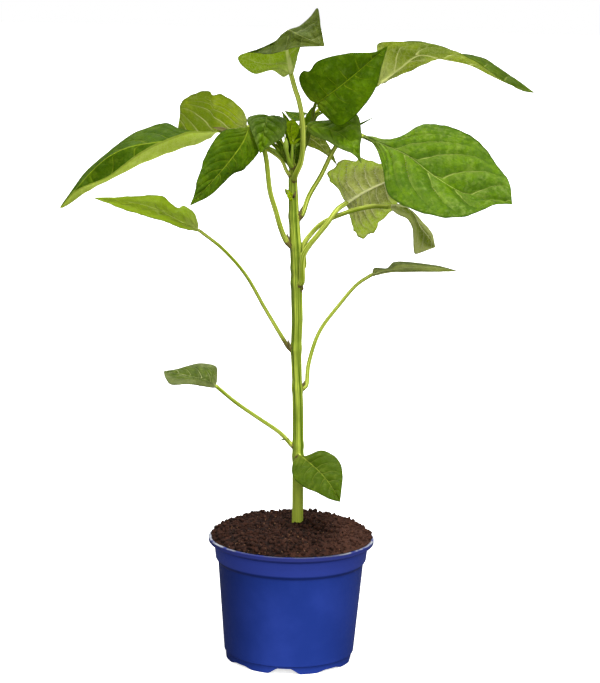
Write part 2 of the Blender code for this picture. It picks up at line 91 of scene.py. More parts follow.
def aroundAxis(turn):
    # the level way out from the axis, turned this many degrees
    return Vector((math.cos(math.radians(turn)), math.sin(math.radians(turn)), 0))


def tubeMesh(rings, marks=None, markNames=(), slotAt=None):
    # a grid rolled into a closed skin: one row of the grid for each ring, sewn along its seam and
    # closed at both ends; marks are kept on its points, and slotAt picks the material of each face
    around, rows = len(rings[0]), len(rings) - 1
    bm = bmesh.new()
    bmesh.ops.create_grid(bm, x_segments=around, y_segments=rows, size=1.0)
    layers = [bm.verts.layers.float.new(name) for name in markNames]
    reach = max(vert.co.x for vert in bm.verts)

    def gridPlace(point):
        return (point.x / reach + 1) / 2 * around, (point.y / reach + 1) / 2 * rows

    if slotAt:
        for face in bm.faces:
            face.material_index = slotAt(*gridPlace(face.calc_center_median()))
    for vert in bm.verts:
        column, row = (round(place) for place in gridPlace(vert.co))
        vert.co = rings[row][column % around]
        for layer, value in zip(layers, marks[row][column % around] if marks else ()):
            vert[layer] = value
    bmesh.ops.remove_doubles(bm, verts=bm.verts, dist=weld)
    bmesh.ops.holes_fill(bm, edges=[e for e in bm.edges if e.is_boundary], sides=0)
    return bm


def skinName(node):
    return node.title().replace("_", "") + "Skin"


def addObject(name, data):
    made = bpy.data.objects.new(name, data)
    bpy.context.scene.collection.objects.link(made)
    return made


def finishPiece(name, bm, materials, slot, sharp=50, replaces=()):
    # sharp: the angle in degrees from which an edge stays hard
    bmesh.ops.recalc_face_normals(bm, faces=bm.faces)
    bmesh.ops.scale(bm, vec=(mm, mm, mm), verts=bm.verts)
    mesh = bpy.data.meshes.new(name)
    bm.to_mesh(mesh)
    bm.free()
    mesh.shade_smooth()
    mesh.set_sharp_from_angle(angle=math.radians(sharp))
    for material in materials:
        mesh.materials.append(material)
    piece = addObject(name, mesh)
    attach(piece, "root")
    if replaces:
        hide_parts(*replaces)
    return piece


# ---- small helpers for materials ----


def addNode(tree, kind, inputs=None, **settings):
    made = tree.nodes.new(kind)
    for key, value in settings.items():
        setattr(made, key, value)
    for key, value in (inputs or {}).items():
        plug(tree, value, made.inputs[key])
    return made


def plug(tree, value, socket):
    # a link or a plain value; colours are written without their alpha
    if isinstance(value, bpy.types.NodeSocket):
        tree.links.new(value, socket)
    elif socket.type == "RGBA":
        socket.default_value = (*value[:3], 1)
    else:
        socket.default_value = value


def calc(tree, operation, a, b=0.0, c=0.0, clamp=False):
    made = addNode(tree, "ShaderNodeMath", operation=operation, use_clamp=clamp)
    for value, socket in zip((a, b, c), made.inputs):
        plug(tree, value, socket)
    return made.outputs[0]


def ramp(tree, value, low, high, start=0.0, end=1.0):
    # a soft step: start below low, end above high
    ends = {"Value": value, "From Min": low, "From Max": high, "To Min": start, "To Max": end}
    return addNode(tree, "ShaderNodeMapRange", ends, interpolation_type="SMOOTHSTEP").outputs["Result"]


def mixColor(tree, share, a, b):
    made = addNode(tree, "ShaderNodeMix", data_type="RGBA")
    for key, value in (("Factor", share), (6, a), (7, b)):
        plug(tree, value, made.inputs[key])
    return made.outputs[2]


def noiseValue(tree, coords, scale, detail=3.0, rough=0.5):
    return addNode(tree, "ShaderNodeTexNoise",
                   {"Vector": coords, "Scale": scale, "Detail": detail, "Roughness": rough}).outputs["Fac"]


def objectCoords(tree):
    return addNode(tree, "ShaderNodeTexCoord").outputs["Object"]


def attribute(tree, name):
    return addNode(tree, "ShaderNodeAttribute", attribute_name=name).outputs["Fac"]


def toolsFor(tree):
    # the makers used most, tied to one tree: product, sum, soft step, mix of colours and noise
    return (partial(calc, tree, "MULTIPLY"), partial(calc, tree, "ADD"), partial(ramp, tree),
            partial(mixColor, tree), partial(noiseValue, tree, objectCoords(tree)))


def newGroup(name, colors, values):
    group = bpy.data.node_groups.new(name, "ShaderNodeTree")
    for label in (*colors, *values):
        kind = "NodeSocketColor" if label in colors else "NodeSocketFloat"
        group.interface.new_socket(name=label, in_out="INPUT", socket_type=kind)
    for label in ("Color", "Roughness", "Height"):
        kind = "NodeSocketColor" if label == "Color" else "NodeSocketFloat"
        group.interface.new_socket(name=label, in_out="OUTPUT", socket_type=kind)
    return group, group.nodes.new("NodeGroupInput").outputs, group.nodes.new("NodeGroupOutput").inputs


def useGroup(tree, group, values):
    made = addNode(tree, "ShaderNodeGroup", node_tree=group)
    for socket in made.inputs:
        plug(tree, values[socket.name], socket)
    return made.outputs


def newMaterial(name, specular=0.5, tint=(1, 1, 1)):
    material = bpy.data.materials.new(name)
    material.use_nodes = True
    tree = material.node_tree
    shader = tree.nodes["Principled BSDF"]
    shader.inputs["Specular IOR Level"].default_value = specular
    shader.inputs["Specular Tint"].default_value = (*tint, 1)
    return material, tree, shader


def coat(tree, shader, color, roughness, normal=None):
    for label, value in (("Base Color", color), ("Roughness", roughness), ("Normal", normal)):
        if value is not None:
            plug(tree, value, shader.inputs[label])


def bumpFrom(tree, height, strength, distance, invert=False):
    return addNode(tree, "ShaderNodeBump", {"Height": height, "Strength": strength, "Distance": distance},
                   invert=invert).outputs["Normal"]


# ---- leaf surface: one group for the upper and the under sides ----

# how fine each pattern of a leaf is
leafScales = dict(wander=90, fade=70, bend=160, net=330, fineNet=900, patch=34, mottle=240, fleck=150,
                  edge=60, sheen=260, sheenPatch=45, gloss=130, swell=190, pore=900)
leafFinish = dict(translucent=0.45, reliefDepth=0.0010, rungs=13.0, bend=0.0035, shadow=(0.004, 0.012, 0.001),
                  sheenColor=(0.46, 0.62, 0.14))


def makeLeafGroup():
    group, given, out = newGroup("leafSurface", ("blade", "deep", "vein", "edge"), (
        "veinShow", "netShow", "sideShow", "sideWidth", "sideReach", "edgeShow", "ribWidth", "ribDark",
        "shading", "patches", "sheen", "rough"))
    times, plus, step, blend, grain = toolsFor(group)
    scales = leafScales
    ribShare, rimShare = attribute(group, "ribShare"), attribute(group, "rimShare")
    alongShare = attribute(group, "alongShare")
    wander = calc(group, "MULTIPLY_ADD", grain(scales["wander"], 2), 0.16, -0.08)
    veinTurn = plus(attribute(group, "veinTurn"), wander)
    betweenVeins = calc(group, "FRACT", veinTurn)

    def nearWhole(value):
        # 1 where a value passes a whole number and 0 halfway to the next
        return times(calc(group, "ABSOLUTE", calc(group, "SUBTRACT", calc(group, "FRACT", value), 0.5)), 2.0)

    # the side veins thin out toward the rim
    thinning = times(given["sideWidth"], calc(group, "MULTIPLY_ADD", rimShare, -0.8, 1.0))
    sideVein = step(nearWhole(veinTurn), calc(group, "SUBTRACT", 1.0, thinning), 1.0)
    sideVein = times(sideVein, step(rimShare, given["sideReach"], times(given["sideReach"], 0.4)))
    fade = step(grain(scales["fade"], 2), 0.36, 0.6, 0.4, 1.0)
    # painted shade and light: the blade is darker before each side vein and lighter after it
    paintedShade = times(step(betweenVeins, 0.55, 0.95), step(rimShare, 1.0, 0.6, 0.25, 1.0))
    paintedLight = times(step(betweenVeins, 0.4, 0.06), step(rimShare, 1.0, 0.6))
    shadow = blend(0.55, given["deep"], leafFinish["shadow"])
    swell = calc(group, "ABSOLUTE", calc(group, "SINE", times(veinTurn, math.pi)))
    crease = times(calc(group, "SUBTRACT", 1.0, swell), step(rimShare, 1.0, 0.4))
    fromRib = calc(group, "DIVIDE", ribShare, given["ribWidth"])
    # ladder of cross veins between the side veins, then the net of small ones
    rung = plus(times(rimShare, leafFinish["rungs"]), times(wander, 9.0))
    rung = plus(rung, times(calc(group, "FLOOR", veinTurn), 0.37))
    ladder = step(nearWhole(rung), 0.84, 1.0)
    coords = objectCoords(group)
    shift = addNode(group, "ShaderNodeTexNoise", {"Vector": coords, "Scale": scales["bend"], "Detail": 1.0})
    shift = addNode(group, "ShaderNodeVectorMath", {0: shift.outputs["Color"], "Scale": leafFinish["bend"]},
                    operation="SCALE")
    bent = addNode(group, "ShaderNodeVectorMath", {0: coords, 1: shift.outputs[0]}, operation="ADD")
    net, fineNet = (step(addNode(group, "ShaderNodeTexVoronoi", {"Vector": bent.outputs[0], "Scale": scale},
                                 feature="DISTANCE_TO_EDGE").outputs["Distance"], width, 0.0)
                    for scale, width in ((scales["net"], 0.11), (scales["fineNet"], 0.16)))
    net = calc(group, "MAXIMUM", calc(group, "MAXIMUM", net, times(ladder, 0.8)), times(fineNet, 0.45))
    # colour: patches of deeper green, warmer by the stalk, paler along the veins, painted light and shade on
    # either side of the side veins, a painted sheen, darker at the rim
    patches = step(grain(scales["patch"], 4, 0.6), 0.40, 0.60, 0.0, given["patches"])
    ground = blend(patches, given["blade"], given["deep"])
    ground = blend(step(grain(scales["mottle"], 3, 0.6), 0.42, 0.62, 0.0, 0.45), ground, given["deep"])
    ground = blend(step(grain(scales["fleck"], 4, 0.65), 0.52, 0.66, 0.0, 0.16), ground, given["vein"])
    # the tinted edge, which on crown leaves is a painted grey sheen
    toEdge = plus(rimShare, calc(group, "MULTIPLY_ADD", grain(scales["edge"], 3), 0.5, -0.25))
    ground = blend(times(step(toEdge, 0.45, 0.8), given["edgeShow"]), ground, given["edge"])
    ground = blend(step(alongShare, 0.26, 0.0, 0.0, 0.42), ground, given["vein"])
    # painted light after each side vein, then painted shade before the next
    ground = blend(times(paintedLight, given["shading"]), ground, given["vein"])
    ground = blend(times(paintedShade, times(given["shading"], 3.0)), ground, shadow)
    ground = blend(times(net, given["netShow"]), ground, given["vein"])
    # painted sheen: pale highlight patches, away from the painted shade before the veins
    paintedSheen = times(step(grain(scales["sheen"], 4, 0.62), 0.46, 0.66), given["sheen"])
    paintedSheen = times(paintedSheen, step(grain(scales["sheenPatch"], 2), 0.40, 0.60))
    paintedSheen = times(paintedSheen, step(betweenVeins, 0.95, 0.45))
    ground = blend(paintedSheen, ground, leafFinish["sheenColor"])
    # darker along the rim: partly the margin's own tone, partly painted shade where it curls down
    ground = blend(step(rimShare, 0.955, 0.985, 0.0, 0.6), ground, shadow)
    # painted shade: on some leaves the midrib's groove is darkened near the stalk, and the midrib dimmed
    # there
    groove = step(alongShare, plus(given["ribDark"], 0.08), given["ribDark"])
    groove = times(groove, step(given["ribDark"], 0.0, 0.1))
    ground = blend(times(times(step(fromRib, 2.2, 1.0), groove), 0.8), ground, shadow)
    midrib = times(step(fromRib, 1.0, 0.4), calc(group, "MULTIPLY_ADD", groove, -0.45, 1.0))
    lines = calc(group, "MAXIMUM", midrib, times(times(sideVein, fade), given["sideShow"]))
    lines = calc(group, "MULTIPLY", lines, given["veinShow"], clamp=True)
    plug(group, blend(lines, ground, given["vein"]), out["Color"])
    gloss = calc(group, "MULTIPLY_ADD", grain(scales["gloss"], 3), 0.24, -0.12)
    plug(group, plus(gloss, given["rough"]), out["Roughness"])
    height = calc(group, "MAXIMUM", times(sideVein, 0.7), times(net, 0.3))
    height = plus(height, times(crease, 0.7))
    height = plus(height, times(grain(scales["swell"], 3), 1.5))
    height = calc(group, "MAXIMUM", height, midrib)
    plug(group, plus(height, times(grain(scales["pore"], 2), 0.14)), out["Height"])
    return group


leafGroup = makeLeafGroup()

# What each side is like, unless its tone says otherwise. veinShow, sideShow, netShow and edgeShow are how
# strongly all veins, the side veins, the net of small ones and the tinted edge come out; sideReach is how
# far the side veins run toward the rim, and ribDark how far painted shade darkens the midrib's groove.
# shading is painted shade on one side of each vein and painted light on the other, patches mixes in the
# deep colour, and sheen is a painted sheen of pale highlight patches.
leafSides = {
    "upper": dict(veinShow=1.0, sideShow=0.62, sideWidth=0.15, sideReach=0.8, netShow=0.05, ribWidth=0.55,
        shading=0.03, patches=0.7, rough=0.38, relief=1.0, shine=0.26, shineTint=(0.9, 1.0, 0.45),
        edge=(0, 0, 0), edgeShow=0, sheen=0.1, ribDark=0.0),
    "under": dict(veinShow=0.9, sideShow=0.9, sideWidth=0.17, sideReach=1.1, netShow=0.28, ribWidth=1.1,
        shading=0.05, patches=0.6, rough=0.56, relief=0.9, shine=0.1, shineTint=(0.9, 1.0, 0.5),
        edge=(0, 0, 0), edgeShow=0, sheen=0.0, ribDark=0.0),
}
# colours of each tone's two sides: blade, its deeper patches and the veins
leafTones = {
    ("dark", "upper"): dict(blade=(0.1, 0.2, 0.0005), deep=(0.038, 0.1, 0.0003), vein=(0.36, 0.48, 0.03),
        shine=0.14, ribWidth=0.42),
    ("dark", "under"): dict(blade=(0.6, 0.75, 0.1), deep=(0.44, 0.58, 0.035), vein=(0.8, 0.88, 0.26)),
    ("shade", "upper"): dict(blade=(0.112, 0.222, 0.0003), deep=(0.04, 0.1, 0.0002),
        vein=(0.34, 0.48, 0.02), shine=0.08, ribWidth=0.55, sideShow=0.6, sideReach=0.7),
    ("shade", "under"): dict(blade=(0.27, 0.37, 0.02), deep=(0.2, 0.29, 0.008), vein=(0.48, 0.56, 0.1)),
    # crown leaves: their edge tint is a painted grey sheen
    ("crown", "upper"): dict(blade=(0.16, 0.31, 0.0003), deep=(0.05, 0.12, 0.0003), vein=(0.34, 0.46, 0.05),
        shine=0.16, veinShow=0.5, shading=0.1, sideShow=0.4, rough=0.44, sheen=0.34,
        edge=(0.15, 0.215, 0.05), edgeShow=0.45),
    ("crown", "under"): dict(blade=(0.3, 0.38, 0.06), deep=(0.2, 0.29, 0.03), vein=(0.48, 0.56, 0.16)),
    ("mid", "upper"): dict(blade=(0.125, 0.215, 0.002), deep=(0.06, 0.125, 0.0007), vein=(0.44, 0.54, 0.07),
        sideReach=0.9),
    ("mid", "under"): dict(blade=(0.33, 0.44, 0.004), deep=(0.145, 0.23, 0.001), vein=(0.9, 0.94, 0.34),
        patches=0.9, sideShow=1.0),
    ("olive", "upper"): dict(blade=(0.14, 0.19, 0.014), deep=(0.066, 0.108, 0.004), vein=(0.38, 0.44, 0.11),
        shine=0.3, shineTint=(0.95, 1.0, 0.6), sideShow=0.5, shading=0.1, sheen=0.2),
    ("olive", "under"): dict(blade=(0.44, 0.67, 0.002), deep=(0.29, 0.48, 0.001), vein=(0.86, 0.94, 0.3),
        edge=(0.29, 0.47, 0.001), edgeShow=0.8, sideShow=1.0),
    ("bright", "upper"): dict(blade=(0.18, 0.35, 0.001), deep=(0.043, 0.14, 0.0004),
        vein=(0.64, 0.78, 0.18), shading=0.09, sideShow=0.85, sideWidth=0.1, sideReach=0.95, shine=0.36,
        ribWidth=0.36, rough=0.34, shineTint=(0.9, 1.0, 0.45), sheen=0.36, ribDark=0.42, patches=0.5),
    ("bright", "under"): dict(blade=(0.4, 0.48, 0.03), deep=(0.3, 0.39, 0.012), vein=(0.54, 0.6, 0.12)),
    ("lime", "upper"): dict(blade=(0.23, 0.335, 0.001), deep=(0.15, 0.235, 0.0005), vein=(0.76, 0.86, 0.24),
        sideShow=0.2, shine=0.22, edge=(0.32, 0.47, 0.01), edgeShow=0.7, sheen=0.0, ribWidth=0.7,
        patches=0.5),
    ("lime", "under"): dict(blade=(0.45, 0.56, 0.06), deep=(0.33, 0.44, 0.02), vein=(0.7, 0.76, 0.24)),
    ("grey", "upper"): dict(blade=(0.15, 0.22, 0.009), deep=(0.04, 0.085, 0.002), vein=(0.76, 0.82, 0.34),
        sideShow=1.0, shine=0.36, shineTint=(0.95, 1.0, 0.7), edge=(0.23, 0.27, 0.08), edgeShow=0.6,
        sheen=0.2),
    ("grey", "under"): dict(blade=(0.4, 0.43, 0.12), deep=(0.29, 0.33, 0.06), vein=(0.6, 0.62, 0.28)),
    ("banded", "upper"): dict(blade=(0.34, 0.4, 0.07), deep=(0.21, 0.26, 0.03), vein=(0.6, 0.66, 0.24),
        sideShow=0.1, edge=(0.11, 0.15, 0.02), edgeShow=0.9, sheen=0.25),
    ("banded", "under"): dict(blade=(0.48, 0.54, 0.16), deep=(0.34, 0.4, 0.08), vein=(0.64, 0.68, 0.28)),
    ("pale", "upper"): dict(blade=(0.26, 0.38, 0.02), deep=(0.17, 0.28, 0.008), vein=(0.48, 0.58, 0.14)),
    ("pale", "under"): dict(blade=(0.64, 0.7, 0.16), deep=(0.32, 0.375, 0.045), vein=(1.0, 1.0, 0.52),
        netShow=0.34, shading=0.16, patches=0.9, sideShow=1.0, sideWidth=0.2, edge=(0.6, 0.82, 0.04),
        edgeShow=0.85),
    ("frosty", "upper"): dict(blade=(0.26, 0.38, 0.02), deep=(0.17, 0.28, 0.008), vein=(0.48, 0.58, 0.14)),
    ("frosty", "under"): dict(blade=(0.375, 0.47, 0.02), deep=(0.185, 0.262, 0.005), vein=(1.0, 1.0, 0.6),
        netShow=0.24, patches=0.9, sideShow=1.0, edge=(0.82, 0.88, 0.3), edgeShow=0.7),
    ("lined", "upper"): dict(blade=(0.2, 0.3, 0.01), deep=(0.13, 0.22, 0.004), vein=(0.4, 0.5, 0.08)),
    ("lined", "under"): dict(blade=(0.5, 0.66, 0.006), deep=(0.25, 0.38, 0.002), vein=(0.9, 0.92, 0.34),
        netShow=0.1, sideReach=1.5, sideWidth=0.22, patches=0.9, shading=0.1),
    ("young", "upper"): dict(blade=(0.4, 0.58, 0.001), deep=(0.2, 0.36, 0.001), vein=(0.64, 0.76, 0.04),
        shine=0.15),
    ("young", "under"): dict(blade=(0.4, 0.52, 0.05), deep=(0.31, 0.43, 0.02), vein=(0.54, 0.64, 0.12)),
}


def leafMaterial(tone, side):
    look = {**leafSides[side], **leafTones[tone, side]}
    name = "leaf" + tone.capitalize() + side.capitalize()
    material, tree, shader = newMaterial(name, look["shine"], look["shineTint"])
    parts = useGroup(tree, leafGroup, look)
    relief = bumpFrom(tree, parts["Height"], look["relief"], leafFinish["reliefDepth"], side == "upper")
    coat(tree, shader, parts["Color"], parts["Roughness"], relief)
    # light comes through the blade: once tinted where it enters or leaves, and clear inside
    glow = addNode(tree, "ShaderNodeBsdfTranslucent", {"Color": parts["Color"], "Normal": relief})
    outer = addNode(tree, "ShaderNodeMixShader",
                    {0: leafFinish["translucent"], 1: shader.outputs[0], 2: glow.outputs[0]})
    inner = addNode(tree, "ShaderNodeBsdfTranslucent", {"Color": (1, 1, 1)})
    backfacing = addNode(tree, "ShaderNodeNewGeometry").outputs["Backfacing"]
    both = addNode(tree, "ShaderNodeMixShader", {0: backfacing, 1: outer.outputs[0], 2: inner.outputs[0]})
    tree.links.new(both.outputs[0], tree.nodes["Material Output"].inputs["Surface"])
    return material


leafMaterials = {key: leafMaterial(*key) for key in leafTones}

# ---- stalks and stem: green with lengthwise ribs, brown at the joints ----

stalkTones = {
    "stem": dict(green=(0.08, 0.15, 0.003), light=(0.54, 0.65, 0.08), joint=(0.12, 0.06, 0.03), streaks=8.0,
                 rough=0.5),
    "stalk": dict(green=(0.17, 0.25, 0.005), light=(0.7, 0.78, 0.14), joint=(0.11, 0.07, 0.025),
                 streaks=2.6, rough=0.42),
    "shade": dict(green=(0.05, 0.085, 0.004), light=(0.17, 0.23, 0.015), joint=(0.07, 0.04, 0.015),
                 streaks=1.6, rough=0.42),
    "shoot": dict(green=(0.21, 0.33, 0.012), light=(0.45, 0.56, 0.12), joint=(0.14, 0.1, 0.03), streaks=1.8,
                 rough=0.45),
    "bud": dict(green=(0.11, 0.09, 0.03), light=(0.25, 0.23, 0.08), joint=(0.05, 0.025, 0.02), streaks=2.2,
                 rough=0.6),
}
stalkFinish = dict(relief=0.5, reliefDepth=0.0005, shine=0.2, shineTint=(0.95, 1.0, 0.5),
                   foot=(0.165, 0.140, 0.4))


def makeStreakGroup():
    group, given, out = newGroup("stalkStreaks", ("green", "light", "joint"), ("streaks", "rough"))
    times, plus, step, blend, grain = toolsFor(group)
    turn = times(attribute(group, "turnShare"), 2 * math.pi)
    # streaks wander round the stalk and run far along it
    flow = addNode(group, "ShaderNodeCombineXYZ", {
        "X": times(calc(group, "COSINE", turn), given["streaks"]),
        "Y": times(calc(group, "SINE", turn), given["streaks"]), "Z": attribute(group, "runShare")})
    streak = noiseValue(group, flow.outputs[0], 1.0, 3.0, 0.55)
    shade = step(plus(times(attribute(group, "ridgeShare"), 0.05), streak), 0.37, 0.65)
    color = blend(shade, given["green"], given["light"])
    color = blend(step(grain(60, 3), 0.4, 0.7, 0.0, 0.3), color, given["green"])
    # brown bark at the joints, with specks beyond it
    specks = step(grain(420, 3), 0.60, 0.68, 0.0, 0.5)
    joint = attribute(group, "jointShare")
    grown = plus(joint, calc(group, "MULTIPLY_ADD", grain(500, 2), 0.8, -0.4))
    bark = times(step(grown, 0.25, 0.75), 0.9)
    bark = calc(group, "MAXIMUM", bark, times(specks, step(joint, 0.0, 0.3)))
    plug(group, blend(bark, color, given["joint"]), out["Color"])
    plug(group, calc(group, "MULTIPLY_ADD", bark, 0.2, given["rough"]), out["Roughness"])
    plug(group, plus(shade, times(grain(1500, 2), 0.3)), out["Height"])
    return group


streakGroup = makeStreakGroup()


def stalkMaterial(tone):
    look = stalkTones[tone]
    material, tree, shader = newMaterial(tone + "Skin", stalkFinish["shine"], stalkFinish["shineTint"])
    parts = useGroup(tree, streakGroup, look)
    # painted light: the stem is made lighter toward its foot
    low = addNode(tree, "ShaderNodeSeparateXYZ", {0: objectCoords(tree)}).outputs["Z"]
    high, end, most = stalkFinish["foot"]
    color = mixColor(tree, ramp(tree, low, high, end, 0.0, most), parts["Color"], look["light"])
    coat(tree, shader, color, parts["Roughness"],
         bumpFrom(tree, parts["Height"], stalkFinish["relief"], stalkFinish["reliefDepth"]))
    return material


stalkSkins = {tone: stalkMaterial(tone) for tone in stalkTones}
print("materials of the plant ready")

# ---- stem ----

# line: how far the middle is off to the right at each height; girth: its radius at each height
stem = dict(line=[(4.8, 90.6), (4.6, 129), (3.6, 188), (2.9, 212), (1.9, 229), (0.6, 254), (1.1, 279),
                  (0.3, 296), (-0.4, 320), (-2.1, 345), (-3.4, 362), (-4.4, 379), (-5.0, 391), (-5.0, 425)],
            girth=[(90.6, 4.6), (129, 4.45), (212, 4.35), (229, 4.05), (254, 4.3), (279, 4.5), (296, 4.6),
                   (345, 4.6), (362, 4.2), (379, 3.85), (392, 3.5), (405, 2.9), (425, 1.2)],
            swell=0.55, swellReach=6.0, ridges=5, ridgeDepth=0.04, around=70, ringStep=1.5, swollen=8,
            leafBark=3.5, budBark=4.0, topNode=(401, -100))

# ---- leaves ----

